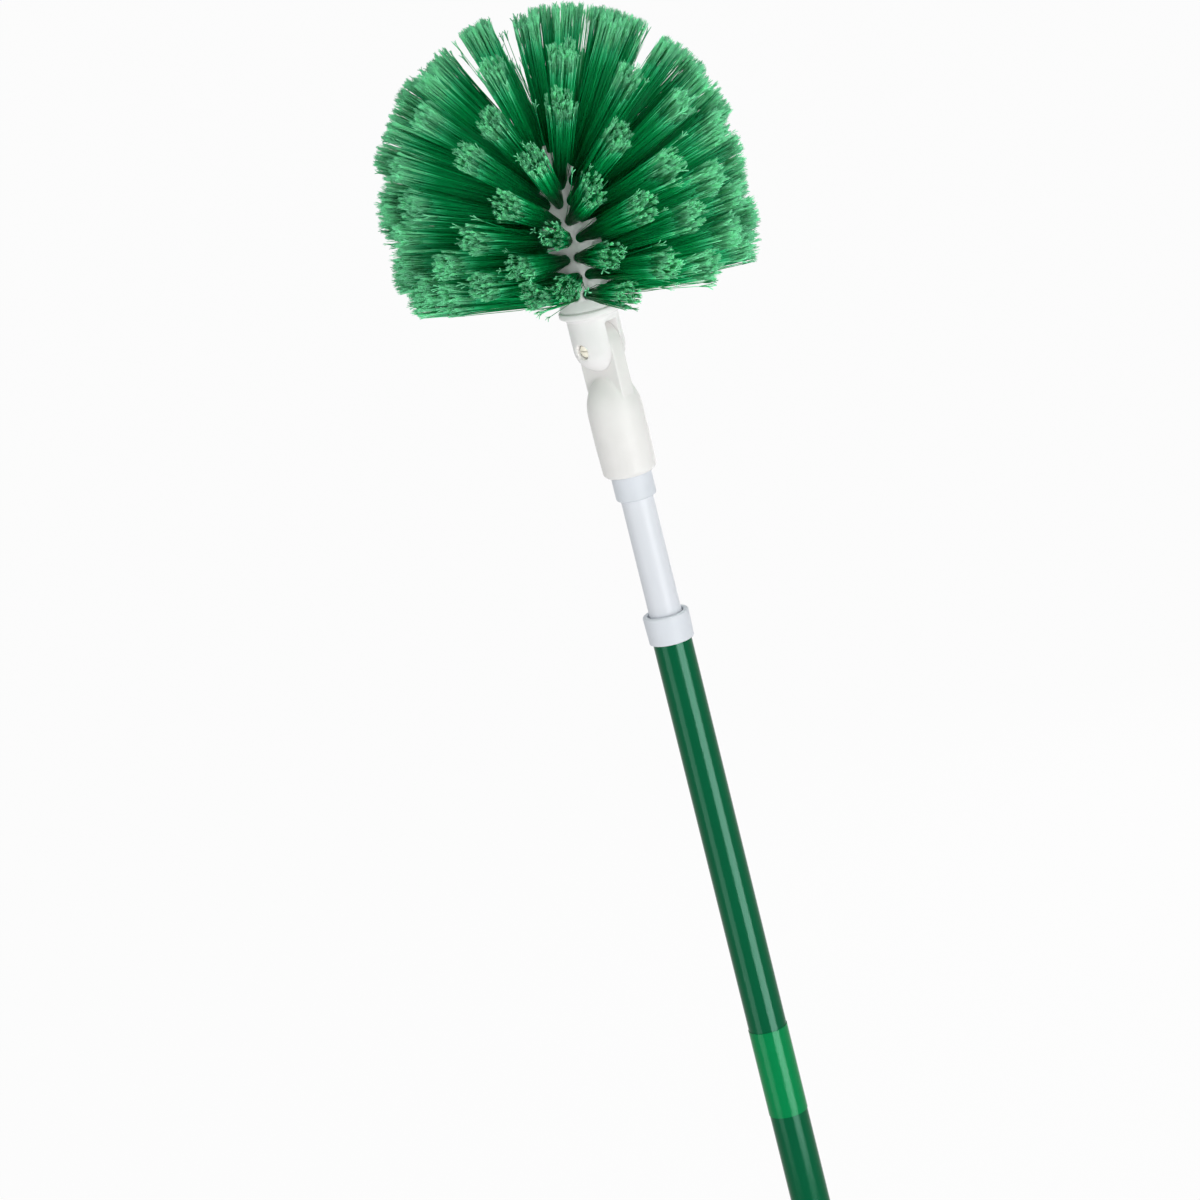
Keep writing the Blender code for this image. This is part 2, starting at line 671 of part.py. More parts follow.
def make_pivot():
    """Pivot screw, its nut and the two friction washers beside the tongue."""
    shank_length = PIVOT_SEAT + PIVOT_SEAT + SEAT_GAP + NUT_THICKNESS
    screw = pan_screw("pivot_screw", PIVOT_SHANK_RADIUS, PIVOT_HEAD_RADIUS, PIVOT_HEAD_HEIGHT, shank_length)
    screw.rotation_euler = (0, math.radians(90), 0)
    screw.location = (-PIVOT_SEAT - SEAT_GAP, 0, PIVOT_HEIGHT)

    nut_start = PIVOT_SEAT + SEAT_GAP
    nut_end = nut_start + NUT_THICKNESS
    nut_radius = NUT_WIDTH / 2 / math.cos(math.pi / 6)
    nut = cylinder("pivot_nut", nut_radius, (nut_start, 0, PIVOT_HEIGHT), (nut_end, 0, PIVOT_HEIGHT), 6, ZINC)
    cut_cylinder(
        nut,
        "nut_bore",
        PIVOT_HOLE,
        (nut_start - CUT_OVERRUN, 0, PIVOT_HEIGHT),
        (nut_end + CUT_OVERRUN, 0, PIVOT_HEIGHT),
    )

    for name, side in (("friction_washer_left", -1), ("friction_washer_right", 1)):
        inside = side * WASHER_INSIDE
        outside = side * WASHER_OUTSIDE
        washer = cylinder(
            name, WASHER_RADIUS, (inside, 0, PIVOT_HEIGHT), (outside, 0, PIVOT_HEIGHT), material=LOCK_PLASTIC
        )
        cut_cylinder(
            washer,
            name + "_hole",
            PIVOT_HOLE,
            (inside - side * CUT_OVERRUN, 0, PIVOT_HEIGHT),
            (outside + side * CUT_OVERRUN, 0, PIVOT_HEIGHT),
        )


def block_surface(arc):
    """Radius, height and slope of the block's surface at a length along its profile from its foot."""
    if arc <= BLOCK_STRAIGHT:
        return BLOCK_RADIUS, BLOCK_FOOT + arc, 0.0
    slope = min((arc - BLOCK_STRAIGHT) / BLOCK_RADIUS, math.pi / 2)
    return BLOCK_RADIUS * math.cos(slope), NOSE_CENTRE + BLOCK_RADIUS * math.sin(slope), slope


def wedge(arc, half_width, depth):
    """The V section of a row's backing: its upper edge, its middle, its lower edge and its root."""
    upper = block_surface(arc + half_width)
    middle = block_surface(arc)
    lower = block_surface(arc - half_width)
    root = (middle[0] - depth * math.cos(middle[2]), middle[1] - depth * math.sin(middle[2]))
    return upper[:2], middle[:2], lower[:2], root


def make_brush_block():
    """The moulded block: a round-nosed body, with a V groove for each row's slice, over a foot and a stem."""
    half = SLICE_WIDTH / 2
    groove_half = half + SEAT_GAP * math.hypot(half, SLICE_DEPTH) / SLICE_DEPTH
    groove_depth = SLICE_DEPTH * groove_half / half
    profile = [(0, NOSE_CENTRE + BLOCK_RADIUS)]
    for row in reversed(range(len(TUFT_ROWS))):
        upper, _, lower, root = wedge(FIRST_ROW_HEIGHT + ROW_PITCH * row, groove_half, groove_depth)
        profile += [upper, root, lower]
    profile += [
        (BLOCK_RADIUS, BLOCK_FOOT + BLOCK_NECK_HEIGHT),
        (BLOCK_FOOT_RADIUS, BLOCK_FOOT + BLOCK_FOOT_HEIGHT),
        (BLOCK_FOOT_RADIUS, BLOCK_FOOT),
        (STEM_RADIUS, BLOCK_FOOT),
        (STEM_RADIUS, RECESS_FLOOR + SEAT_GAP),
        (0, RECESS_FLOOR + SEAT_GAP),
    ]
    block = turned("brush_block", profile, WARM_WHITE, BLOCK_STEPS)
    screw_foot = SLOT_TOP + STEM_SCREW_HEAD_HEIGHT
    cut_cylinder(
        block,
        "block_pilot_hole",
        STEM_SCREW_RADIUS + SEAT_GAP,
        (0, 0, RECESS_FLOOR - CUT_OVERRUN),
        (0, 0, screw_foot + STEM_SCREW_LENGTH + SEAT_GAP),
        SCREW_STEPS,
    )
    screw = pan_screw(
        "stem_screw", STEM_SCREW_RADIUS, STEM_SCREW_HEAD_RADIUS, STEM_SCREW_HEAD_HEIGHT, STEM_SCREW_LENGTH
    )
    screw.location = (0, 0, screw_foot)
    return block


def trim_reach(radius, height, lean):
    """How far a strand runs from a point on the block, at a lean, before it meets the trimmed dome."""
    out, up = math.cos(lean), math.sin(lean)
    side = (TRIM_RADIUS - radius) / out
    if height + side * up <= TRIM_CENTRE:
        return side
    a = (out / TRIM_RADIUS) ** 2 + (up / TRIM_CROWN_HEIGHT) ** 2
    b = radius * out / TRIM_RADIUS**2 + (height - TRIM_CENTRE) * up / TRIM_CROWN_HEIGHT**2
    c = (radius / TRIM_RADIUS) ** 2 + ((height - TRIM_CENTRE) / TRIM_CROWN_HEIGHT) ** 2 - 1
    return (math.sqrt(b * b - a * c) - b) / a


def make_tuft_row(name, row, lean_degrees, tufts, turn_degrees):
    """One row: a V slice of the backing round the block, and four strands a tuft drawn out of its face."""
    arc = FIRST_ROW_HEIGHT + ROW_PITCH * row
    upper, middle, lower, root = wedge(arc, SLICE_WIDTH / 2, SLICE_DEPTH)
    lean = math.radians(lean_degrees)
    reach = trim_reach(*middle, lean)
    pitch = math.tau / tufts
    first = math.radians(turn_degrees)
    columns = 3 * tufts

    shape = bmesh.new()
    start = first - pitch / 3
    # Azimuths run from -Y towards +X, which is the right-hand turn about +Z.
    section = (upper, middle, lower, root)
    corners = [shape.verts.new((r * math.sin(start), -r * math.cos(start), z)) for r, z in section]
    loop = [shape.edges.new((corners[i], corners[(i + 1) % 4])) for i in range(4)]
    bmesh.ops.spin(
        shape,
        geom=[*corners, *loop],
        cent=(0, 0, 0),
        axis=(0, 0, 1),
        angle=math.tau,
        steps=columns,
        use_merge=True,
    )
    bmesh.ops.recalc_face_normals(shape, faces=shape.faces)

    def tuft_of(face):
        """The azimuth of the nearest tuft, and how far from it the face's middle lies."""
        centre = face.calc_center_median()
        azimuth = math.atan2(centre.x, -centre.y)
        tuft = first + pitch * round((azimuth - first) / pitch)
        return tuft, azimuth - tuft

    slope = block_surface(arc)[2]
    outward = Vector((math.cos(slope), math.sin(slope)))
    strands = []
    for face in shape.faces:
        centre = face.calc_center_median()
        level = Vector((math.hypot(face.normal.x, face.normal.y), face.normal.z))
        faces_out = face.normal.x * centre.x + face.normal.y * centre.y > 0
        if faces_out and level.dot(outward) > FACE_MATCH_SHARE and abs(tuft_of(face)[1]) < pitch / 4:
            strands.append(face)
    shortest = min(edge.calc_length() for face in strands for edge in face.edges)
    inset = shortest * STRAND_INSET_SHARE
    bmesh.ops.inset_individual(shape, faces=strands, thickness=inset, use_even_offset=True)

    drawn = bmesh.ops.extrude_discrete_faces(shape, faces=strands)["faces"]
    for face in drawn:
        tuft, aside = tuft_of(face)
        centre = face.calc_center_median()
        out = Vector((math.sin(tuft), -math.cos(tuft), 0))
        across = Vector((math.cos(tuft), math.sin(tuft), 0))
        along = out * math.cos(lean) + Vector((0, 0, math.sin(lean)))
        rise = Vector((0, 0, math.cos(lean))) - out * math.sin(lean)
        base = out * middle[0] + Vector((0, 0, middle[1]))
        sideways = math.copysign(TUFT_SPREAD, aside)
        upwards = math.copysign(TUFT_SPREAD, (centre - base).dot(rise))
        tip = base + along * reach + across * sideways + rise * upwards
        for vert in face.verts:
            vert.co = tip + (vert.co - centre) * STRAND_FLARE_SHARE
    mesh = bpy.data.meshes.new(name)
    shape.to_mesh(mesh)
    shape.free()
    return place(bpy.data.objects.new(name, mesh), name, BRISTLE)


def joint_axis(name, height, carrier=None):
    """An empty on a joint's axis, which carries what the joint moves."""
    empty = bpy.data.objects.new(name, None)
    PARTS.objects.link(empty)
    empty.location.z = height
    if carrier:
        ride(empty, carrier)
    return empty


def join_up():
    """Hangs each moving piece on its joint's axis: the slide, the lock's twist and the head's tilt."""
    slide = joint_axis("slide_axis", INNER_TUBE_FOOT)
    twist = joint_axis("twist_axis", INNER_TUBE_FOOT, slide)
    tilt = joint_axis("tilt_axis", PIVOT_HEIGHT, twist)
    ride(bpy.data.objects["lock_ring"], slide)
    for name in (
        "inner_tube",
        "lock_plug",
        "lock_washer",
        "lock_screw",
        "threaded_tip",
        "handle_socket",
        "friction_washer_left",
        "friction_washer_right",
    ):
        ride(bpy.data.objects[name], twist)
    for name in ("knuckle_fork", "pivot_screw", "pivot_nut", "stem_screw", "brush_block"):
        ride(bpy.data.objects[name], tilt)
    for obj in list(PARTS.objects):
        if obj.name.startswith("tuft_"):
            ride(obj, tilt)


def main():
    make_end_cap()
    make_tube("outer_tube", OUTER_TUBE_RADIUS, OUTER_BORE, OUTER_TUBE_FOOT, OUTER_TUBE_TOP, GREEN_PAINT)
    make_label()
    make_collar()
    make_tube("inner_tube", INNER_TUBE_RADIUS, INNER_BORE, INNER_TUBE_FOOT, INNER_TUBE_TOP, WHITE_PAINT)
    make_lock()
    make_threaded_tip()
    make_socket()
    make_fork()
    make_pivot()
    make_brush_block()
    for row, (lean, tufts, turn) in enumerate(TUFT_ROWS):
        last = row == len(TUFT_ROWS) - 1
        make_tuft_row("tuft_crown" if last else f"tuft_row_{row + 1}", row, lean, tufts, turn)
    join_up()


main()
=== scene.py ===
import math

import bpy
import numpy as np
from mathutils import Matrix, Vector


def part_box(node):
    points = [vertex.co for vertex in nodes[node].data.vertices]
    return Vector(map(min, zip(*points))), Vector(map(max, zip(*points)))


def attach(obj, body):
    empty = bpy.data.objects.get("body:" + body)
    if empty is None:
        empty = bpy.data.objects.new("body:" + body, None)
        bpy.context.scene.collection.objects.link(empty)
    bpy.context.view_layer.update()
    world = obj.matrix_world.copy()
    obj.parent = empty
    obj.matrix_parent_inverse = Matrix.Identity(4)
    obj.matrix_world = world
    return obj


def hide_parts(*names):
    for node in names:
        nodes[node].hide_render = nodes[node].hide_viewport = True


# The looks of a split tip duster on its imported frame
# Sizes are in metres. Z runs up the handle, and the head tilts about X.
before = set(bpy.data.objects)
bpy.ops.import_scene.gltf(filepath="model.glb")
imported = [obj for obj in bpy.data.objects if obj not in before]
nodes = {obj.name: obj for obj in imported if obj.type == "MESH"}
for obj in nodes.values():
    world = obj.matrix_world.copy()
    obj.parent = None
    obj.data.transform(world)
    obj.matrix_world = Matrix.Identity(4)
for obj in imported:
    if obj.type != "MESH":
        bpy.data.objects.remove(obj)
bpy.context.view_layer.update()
print("frame loaded with", len(nodes), "nodes")


# Ways of working that every piece shares
# Points nearer than weldReach join, and a ring as small as nearAxis closes a piece on its axis.

facets = {"piece": 96, "wideBore": 64, "pin": 48, "narrowBore": 32}
weldReach = 0.000002
nearAxis = 0.00001


def startFresh():
    active = bpy.context.view_layer.objects.active
    if active and active.mode != "OBJECT":
        bpy.ops.object.mode_set(mode="OBJECT")
    bpy.ops.object.select_all(action="DESELECT")


def pick(piece):
    startFresh()
    piece.select_set(True)
    bpy.context.view_layer.objects.active = piece
    return piece


def addObject(name, data):
    piece = bpy.data.objects.new(name, data)
    bpy.context.scene.collection.objects.link(piece)
    return piece


def finishModifier(piece, kind, **settings):
    step = piece.modifiers.new(kind.lower(), kind)
    for key, value in settings.items():
        setattr(step, key, value)
    pick(piece)
    bpy.ops.object.modifier_apply(modifier=step.name)


def settle(piece, name, angle=35):
    # The place goes into the mesh, and only edges sharper than the angle stay crisp
    piece.name = name
    piece.data.name = name
    pick(piece)
    bpy.ops.object.transform_apply(location=True, rotation=True, scale=True)
    bpy.ops.object.shade_smooth_by_angle(angle=math.radians(angle))
    return piece


def drawnOut(name, stations, steps=facets["piece"], start="NGON", end="cap"):
    # Rings of (radius, height) or (radius, height, x, y), each extruded from the last
    def ring(station):
        radius, height, *aside = station
        return radius, Vector((*(aside or (0, 0)), height))

    startFresh()
    radius, middle = ring(stations[0])
    bpy.ops.mesh.primitive_circle_add(vertices=steps, radius=radius, location=middle, fill_type=start)
    piece = bpy.context.object
    bpy.ops.object.mode_set(mode="EDIT")
    for station in stations[1:]:
        nextRadius, nextMiddle = ring(station)
        bpy.ops.mesh.extrude_edges_move(TRANSFORM_OT_translate={"value": nextMiddle - middle})
        share = nextRadius / radius
        bpy.ops.transform.resize(value=(share, share, 1), center_override=nextMiddle)
        radius, middle = nextRadius, nextMiddle
    if end == "cap":
        bpy.ops.mesh.edge_face_add()
    bpy.ops.mesh.select_all(action="SELECT")
    bpy.ops.mesh.remove_doubles(threshold=weldReach)
    bpy.ops.mesh.normals_make_consistent(inside=False)
    bpy.ops.object.mode_set(mode="OBJECT")
    return settle(piece, name)


def turnedRing(name, stations):
    # A piece with a bore right through it: its last station is its first again
    return drawnOut(name, stations, start="NOTHING", end="open")


def tubeWall(bore, radius, foot, top):
    return [(bore, foot), (radius, foot), (radius, top), (bore, top), (bore, foot)]


def roundedEdge(centre, radius, fromDegrees, toDegrees, count):
    # Stations of a quarter-round edge about a (radius, height) centre
    stations = []
    for step in range(count + 1):
        turn = math.radians(fromDegrees + (toDegrees - fromDegrees) * step / count)
        stations.append((centre[0] + radius * math.cos(turn), centre[1] + radius * math.sin(turn)))
    return stations


def roundFoot(radius, foot, size, count):
    # From a piece's underside up to its wall
    return roundedEdge((radius - size, foot + size), size, -90, 0, count)


def roundTop(radius, top, size, count):
    # From a piece's wall up to its top
    return roundedEdge((radius - size, top - size), size, 0, 90, count)


def carve(piece, cutter, operation="DIFFERENCE"):
    finishModifier(piece, "BOOLEAN", operation=operation, object=cutter, solver="EXACT")
    bpy.data.objects.remove(cutter, do_unlink=True)
    return piece


def rod(radius, start, end, steps=facets["pin"], mouth=None):
    # A pin, or with a mouth a cone that opens towards its end
    start, end = Vector(start), Vector(end)
    along = end - start
    startFresh()
    bpy.ops.mesh.primitive_cone_add(
        vertices=steps, radius1=radius, radius2=mouth or radius, depth=along.length,
        location=(start + end) / 2, rotation=along.to_track_quat("Z", "Y").to_euler(),
    )
    return settle(bpy.context.object, "rod")


def crossRod(radius, left, right, height, steps=facets["pin"]):
    # A pin that lies along X, through the axis
    return rod(radius, (left, 0, height), (right, 0, height), steps)


def uprightRod(radius, foot, top, steps=facets["narrowBore"]):
    # A pin on the axis
    return rod(radius, (0, 0, foot), (0, 0, top), steps)


def slab(low, high, edge=0.0):
    low, high = Vector(low), Vector(high)
    startFresh()
    bpy.ops.mesh.primitive_cube_add(size=1, location=(low + high) / 2, scale=high - low)
    piece = settle(bpy.context.object, "slab")
    if edge:
        finishModifier(piece, "BEVEL", width=edge, segments=4, limit_method="ANGLE")
    return piece


def mouldSoft(piece, name, cell, rounds):
    # Moulded plastic has no hard edge: the shape is cast again in small cells and its edges relax
    finishModifier(piece, "REMESH", mode="VOXEL", voxel_size=cell)
    finishModifier(piece, "SMOOTH", factor=0.5, iterations=rounds)
    return settle(piece, name, angle=60)


def dress(piece, node, finish, body):
    piece.data.materials.clear()
    piece.data.materials.append(finish)
    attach(piece, body)
    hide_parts(node)
    return piece


# Finishes

def fromHex(text):
    # An sRGB hex colour as the linear values that a shader takes
    shares = [int(text[start:start + 2], 16) / 255 for start in (1, 3, 5)]
    linear = [share / 12.92 if share <= 0.04045 else ((share + 0.055) / 1.055) ** 2.4 for share in shares]
    return (*linear, 1.0)


def perMetre(millimetres):
    # A texture's scale for a pattern of that size
    return 1000 / millimetres


def addNode(tree, kind, settings=None, **inputs):
    # An input goes by its name, with _ for a space, or by its number, as i0 or i1
    node = tree.nodes.new(kind)
    for key, value in (settings or {}).items():
        setattr(node, key, value)
    for key, value in inputs.items():
        numbered = key[0] == "i" and key[1:].isdigit()
        entry = node.inputs[int(key[1:]) if numbered else key.replace("_", " ")]
        if isinstance(value, bpy.types.NodeSocket):
            tree.links.new(value, entry)
        else:
            entry.default_value = value
    return node


def startFinish(name, **values):
    finish = bpy.data.materials.new(name)
    finish.use_nodes = True
    shader = finish.node_tree.nodes["Principled BSDF"]
    for key, value in values.items():
        shader.inputs[key.replace("_", " ")].default_value = value
    return finish, finish.node_tree, shader


def ownPlace(tree):
    # A pattern that keeps its place on the piece
    return addNode(tree, "ShaderNodeTexCoord").outputs["Object"]


def addNoise(tree, place, millimetres, detail):
    scale = perMetre(millimetres)
    return addNode(tree, "ShaderNodeTexNoise", None, Vector=place, Scale=scale, Detail=detail).outputs[0]


def spread(tree, value, low, high, fromLow=0.3, fromHigh=0.7):
    # Stretches a noise to run from low to high
    return addNode(
        tree, "ShaderNodeMapRange", None,
        Value=value, From_Min=fromLow, From_Max=fromHigh, To_Min=low, To_Max=high,
    ).outputs[0]


def colourBy(tree, shader, noise, first, second):
    # The base colour wanders between two hex colours
    mix = addNode(
        tree, "ShaderNodeMix", {"data_type": "RGBA"},
        i0=spread(tree, noise, 0, 1), i6=fromHex(first), i7=fromHex(second),
    )
    tree.links.new(mix.outputs[2], shader.inputs["Base Color"])


def roughenBy(tree, shader, noise, low, high, *noiseRange):
    tree.links.new(spread(tree, noise, low, high, *noiseRange), shader.inputs["Roughness"])


def dentBy(tree, shader, noise, strength, depth):
    bump = addNode(tree, "ShaderNodeBump", None, Strength=strength, Distance=depth, Height=noise)
    tree.links.new(bump.outputs[0], shader.inputs["Normal"])


# Patterns of the finishes: sizes in millimetres, and the light's reach in metres
plasticPattern = {
    "shine": 0.022, "lightReach": 0.003, "flowSize": 14, "flowDetail": 3.0, "grainDetail": 2.0,
    "smoother": 0.04, "rougher": 0.05, "grainStrength": 0.5,
}
paintPattern = {
    "toneSize": 60, "toneDetail": 2.0, "markSize": 1.2, "markDetail": 4.0, "markStretch": (1, 1, 0.02),
    "smoother": 0.03, "rougher": 0.08, "peelDetail": 1.0, "peelStrength": 0.35,
}
greenShine = (0.6, 1, 0.9, 1)
whiteShine = (1, 1, 1, 1)


def mouldedPlastic(name, pale, shaded, roughness, grain, depth, glow=0.0):
    # Injection-moulded: a fine grain breaks the gloss, and the flow of the melt shades it faintly
    pattern = plasticPattern
    finish, tree, shader = startFinish(
        name, IOR=1.49, Specular_IOR_Level=pattern["shine"], Subsurface_Weight=glow,
        Subsurface_Scale=pattern["lightReach"], Subsurface_Radius=(1, 1, 1),
    )
    place = ownPlace(tree)
    flow = addNoise(tree, place, pattern["flowSize"], pattern["flowDetail"])
    colourBy(tree, shader, flow, pale, shaded)
    fine = addNoise(tree, place, grain, pattern["grainDetail"])
    roughenBy(tree, shader, fine, roughness - pattern["smoother"], roughness + pattern["rougher"])
    dentBy(tree, shader, fine, pattern["grainStrength"], depth)
    return finish


def paintedSteel(name, body, thin, roughness, peel, depth, shine, tint):
    # Paint on a drawn tube: a slight orange peel, and fine marks along the tube from handling
    pattern = paintPattern
    finish, tree, shader = startFinish(name, IOR=1.5, Specular_IOR_Level=shine, Specular_Tint=tint)
    place = ownPlace(tree)
    colourBy(tree, shader, addNoise(tree, place, pattern["toneSize"], pattern["toneDetail"]), body, thin)
    along = addNode(tree, "ShaderNodeMapping", None, Vector=place, Scale=pattern["markStretch"]).outputs[0]
    marks = addNoise(tree, along, pattern["markSize"], pattern["markDetail"])
    roughenBy(tree, shader, marks, roughness - pattern["smoother"], roughness + pattern["rougher"])
    skin = addNoise(tree, place, peel, pattern["peelDetail"])
    dentBy(tree, shader, skin, pattern["peelStrength"], depth)
    return finish


def makeWarmPolypropylene():
    # Warm white with a soft gloss, and light that passes a little way under its skin
    return mouldedPlastic(
        "warmPolypropylene", "#F2F1EF", "#EEEDEB", roughness=0.22, grain=0.9, depth=0.00003, glow=0.5
    )


def makeForkPolypropyleneWithPaintedLight():
    # The same plastic painted paler than the socket's: painted light that makes up for the bristles' shade on
    # the fork, while more light also fills its thinner wall
    return mouldedPlastic(
        "forkPolypropyleneWithPaintedLight", "#FEFAF9", "#FAF6F5", roughness=0.22, grain=0.9, depth=0.00003, glow=0.75
    )


def makeBlockPolypropyleneWithPaintedLight():
    # A matter white with light under its skin, painted brighter and faintly green: painted light for the
    # green light the bristles bounce onto it and against their shade
    return mouldedPlastic(
        "blockPolypropyleneWithPaintedLight", "#FBFDFB", "#F7F9F6", roughness=0.38, grain=0.7, depth=0.00004, glow=0.7
    )


def makeCoolAbs():
    # Cool pale grey, opaque, with a satin face
    return mouldedPlastic("coolAbs", "#E0E5EB", "#DBE0E6", roughness=0.32, grain=0.8, depth=0.00003)


def makeCapPlastic():
    # A lighter cool grey, matter, with a deeper grain
    return mouldedPlastic("capPlastic", "#E4E8ED", "#DBE0E6", roughness=0.40, grain=0.8, depth=0.00005)


def makeGreyAcetal():
    # Mid grey and matt, for the pieces that slide on each other
    return mouldedPlastic("greyAcetal", "#A0A3A7", "#94979C", roughness=0.38, grain=0.8, depth=0.00004)


def makeGreenEnamel():
    # Deep green baked enamel, which mirrors the studio's cards in clear streaks
    return paintedSteel(
        "greenEnamel", "#005D39", "#005936", roughness=0.13, peel=2.4, depth=0.00002, shine=0.08,
        tint=greenShine,
    )


def makeWhitePowderCoat():
    # Cool white powder coat with a faint satin shine
    return paintedSteel(
        "whitePowderCoat", "#E4E8ED", "#DFE3E9", roughness=0.24, peel=1.6, depth=0.00003, shine=0.035,
        tint=whiteShine,
    )


filmPattern = {"toneSize": 25, "toneDetail": 2.0, "wrinkleSize": 5, "wrinkleDetail": 1.0}


def makeLabelFilm():
    # Polypropylene film: brighter than the paint under it, glossy, and a little rippled
    pattern = filmPattern
    finish, tree, shader = startFinish(
        "labelFilm", IOR=1.49, Roughness=0.17, Specular_IOR_Level=0.08, Specular_Tint=greenShine
    )
    place = ownPlace(tree)
    tone = addNoise(tree, place, pattern["toneSize"], pattern["toneDetail"])
    colourBy(tree, shader, tone, "#00864A", "#008046")
    wrinkle = addNoise(tree, place, pattern["wrinkleSize"], pattern["wrinkleDetail"])
    dentBy(tree, shader, wrinkle, strength=0.3, depth=0.00005)
    return finish


zincPattern = {"tintSize": 2.5, "tintDetail": 3.0, "crystalSize": 0.5, "smoothest": 0.48, "roughest": 0.62}


def makeZincPlate():
    # Zinc-plated steel, dulled: warm grey, its crystals roughening the shine in patches
    pattern = zincPattern
    finish, tree, shader = startFinish("zincPlate", Metallic=1.0)
    place = ownPlace(tree)
    tint = addNoise(tree, place, pattern["tintSize"], pattern["tintDetail"])
    colourBy(tree, shader, tint, "#B6B4A8", "#AEABA0")
    scale = perMetre(pattern["crystalSize"])
    crystal = addNode(tree, "ShaderNodeTexVoronoi", None, Vector=place, Scale=scale).outputs[0]
    roughenBy(tree, shader, crystal, pattern["smoothest"], pattern["roughest"], 0, 1)
    return finish


# Colours down a filament, with the shares of its last 90 mm where they start. They are painted brighter than
# the filament's own, as painted light for light that passes through the filaments and against the shade among
# them; the root's most, so it is brighter than the stem.
bristleLook = {
    "rootColourWithPaintedLight": "#00AE5E", "stemColour": "#009C50", "neckColour": "#06A85C", "splitColour": "#42D490",
    "tipColour": "#86ECB4", "stemFrom": 0.3, "neckFrom": 0.82, "splitFrom": 0.92,
    "shadeShift": 0.16, "darkest": 0.55, "brightestWithPaintedGlint": 1.45,
}


def makeFilament():
    # Extruded polypropylene: satin deep green down its stem, and pale where the end is split to a fluff
    look = bristleLook
    finish, tree, shader = startFinish(
        "splitTipFilament", IOR=1.49, Roughness=0.38, Specular_IOR_Level=0.04, Specular_Tint=(0.3, 1, 0.7, 1)
    )
    along = addNode(tree, "ShaderNodeAttribute", {"attribute_name": "along"}).outputs["Fac"]
    shade = addNode(tree, "ShaderNodeAttribute", {"attribute_name": "shade"}).outputs["Fac"]
    shifted = addNode(
        tree, "ShaderNodeMath", {"operation": "MULTIPLY_ADD"}, i0=shade, i1=look["shadeShift"], i2=along
    ).outputs[0]
    ramp = addNode(tree, "ShaderNodeValToRGB", None, Fac=shifted)
    stops = ramp.color_ramp.elements
    stops[0].position, stops[0].color = 0.0, fromHex(look["rootColourWithPaintedLight"])
    stops[1].position, stops[1].color = 1.0, fromHex(look["tipColour"])
    for part in ("stem", "neck", "split"):
        stop = stops.new(look[part + "From"])
        stop.color = fromHex(look[part + "Colour"])
    # Each filament's tone differs at random; its brighter ones are partly painted glints, standing in for
    # fine bright lines of sheen along the stems
    light = spread(tree, shade, look["darkest"], look["brightestWithPaintedGlint"], 0, 1)
    toned = addNode(tree, "ShaderNodeVectorMath", {"operation": "SCALE"}, i0=ramp.outputs[0], Scale=light)
    tree.links.new(toned.outputs[0], shader.inputs["Base Color"])
    return finish


warmPolypropylene = makeWarmPolypropylene()
forkPolypropyleneWithPaintedLight = makeForkPolypropyleneWithPaintedLight()
blockPolypropyleneWithPaintedLight = makeBlockPolypropyleneWithPaintedLight()
coolAbs = makeCoolAbs()
capPlastic = makeCapPlastic()
greyAcetal = makeGreyAcetal()
greenEnamel = makeGreenEnamel()
whitePowderCoat = makeWhitePowderCoat()
labelFilm = makeLabelFilm()
zincPlate = makeZincPlate()
splitTipFilament = makeFilament()
print("finishes mixed")


# Handle

tube = {"radius": 0.0111, "bore": 0.0105, "foot": 0.0243, "top": 0.7843}
outerTube = turnedRing("outerTube", tubeWall(tube["bore"], tube["radius"], tube["foot"], tube["top"]))
dress(outerTube, "outer_tube", greenEnamel, "handle")

cap = {
    "radius": 0.0127, "footRadius": 0.0075, "roundHeight": 0.007, "footSteps": 10, "eyeTop": 0.024,
    "bore": 0.0114, "sleeveTop": 0.050, "plug": 0.0102, "plugTop": 0.036, "plugChamfer": 0.0008,
    "rim": 0.0005, "bevel": 0.0007,
    "holeRadius": 0.0045, "holeHeight": 0.0125, "drillReach": 0.02,
    "ribs": 5, "ribPitch": 0.0034, "ribDepth": 0.00045, "ribTop": 0.0455,
}
# The groove beside each rib: heights from its middle, with shares of its depth
ribGroove = ((-0.0009, 0), (-0.0005, 0.8), (0, 1), (0.0005, 0.8), (0.0009, 0))
capFoot = []
for step in range(cap["footSteps"] + 1):
    turn = math.radians(90 * step / cap["footSteps"])
    radius = cap["footRadius"] + (cap["radius"] - cap["footRadius"]) * math.sin(turn)
    capFoot.append((radius, cap["roundHeight"] * (1 - math.cos(turn))))
ribs = []
for rib in reversed(range(cap["ribs"])):
    middle = cap["ribTop"] - cap["ribPitch"] * rib
    for rise, share in ribGroove:
        ribs.append((cap["radius"] - cap["ribDepth"] * share, middle + rise))
endCap = drawnOut(
    "endCap",
    [
        *capFoot, *ribs, *roundTop(cap["radius"], cap["sleeveTop"], cap["rim"], count=4),
        (cap["bore"], cap["sleeveTop"]), (cap["bore"], cap["eyeTop"]), (cap["plug"], cap["eyeTop"]),
        (cap["plug"], cap["plugTop"] - cap["plugChamfer"]),
        (cap["plug"] - cap["plugChamfer"], cap["plugTop"]),
    ],
)
hangHole = crossRod(
    cap["holeRadius"], -cap["drillReach"], cap["drillReach"], cap["holeHeight"], facets["wideBore"]
)
carve(endCap, hangHole)
finishModifier(
    endCap, "BEVEL", width=cap["bevel"], segments=3, limit_method="ANGLE", angle_limit=math.radians(50)
)
settle(endCap, "endCap")
dress(endCap, "end_cap", capPlastic, "handle")

label = {"inside": 0.0112, "outside": 0.0114, "foot": 0.4821, "top": 0.5351}
labelBand = turnedRing("labelBand", tubeWall(label["inside"], label["outside"], label["foot"], label["top"]))
dress(labelBand, "label_band", labelFilm, "handle")

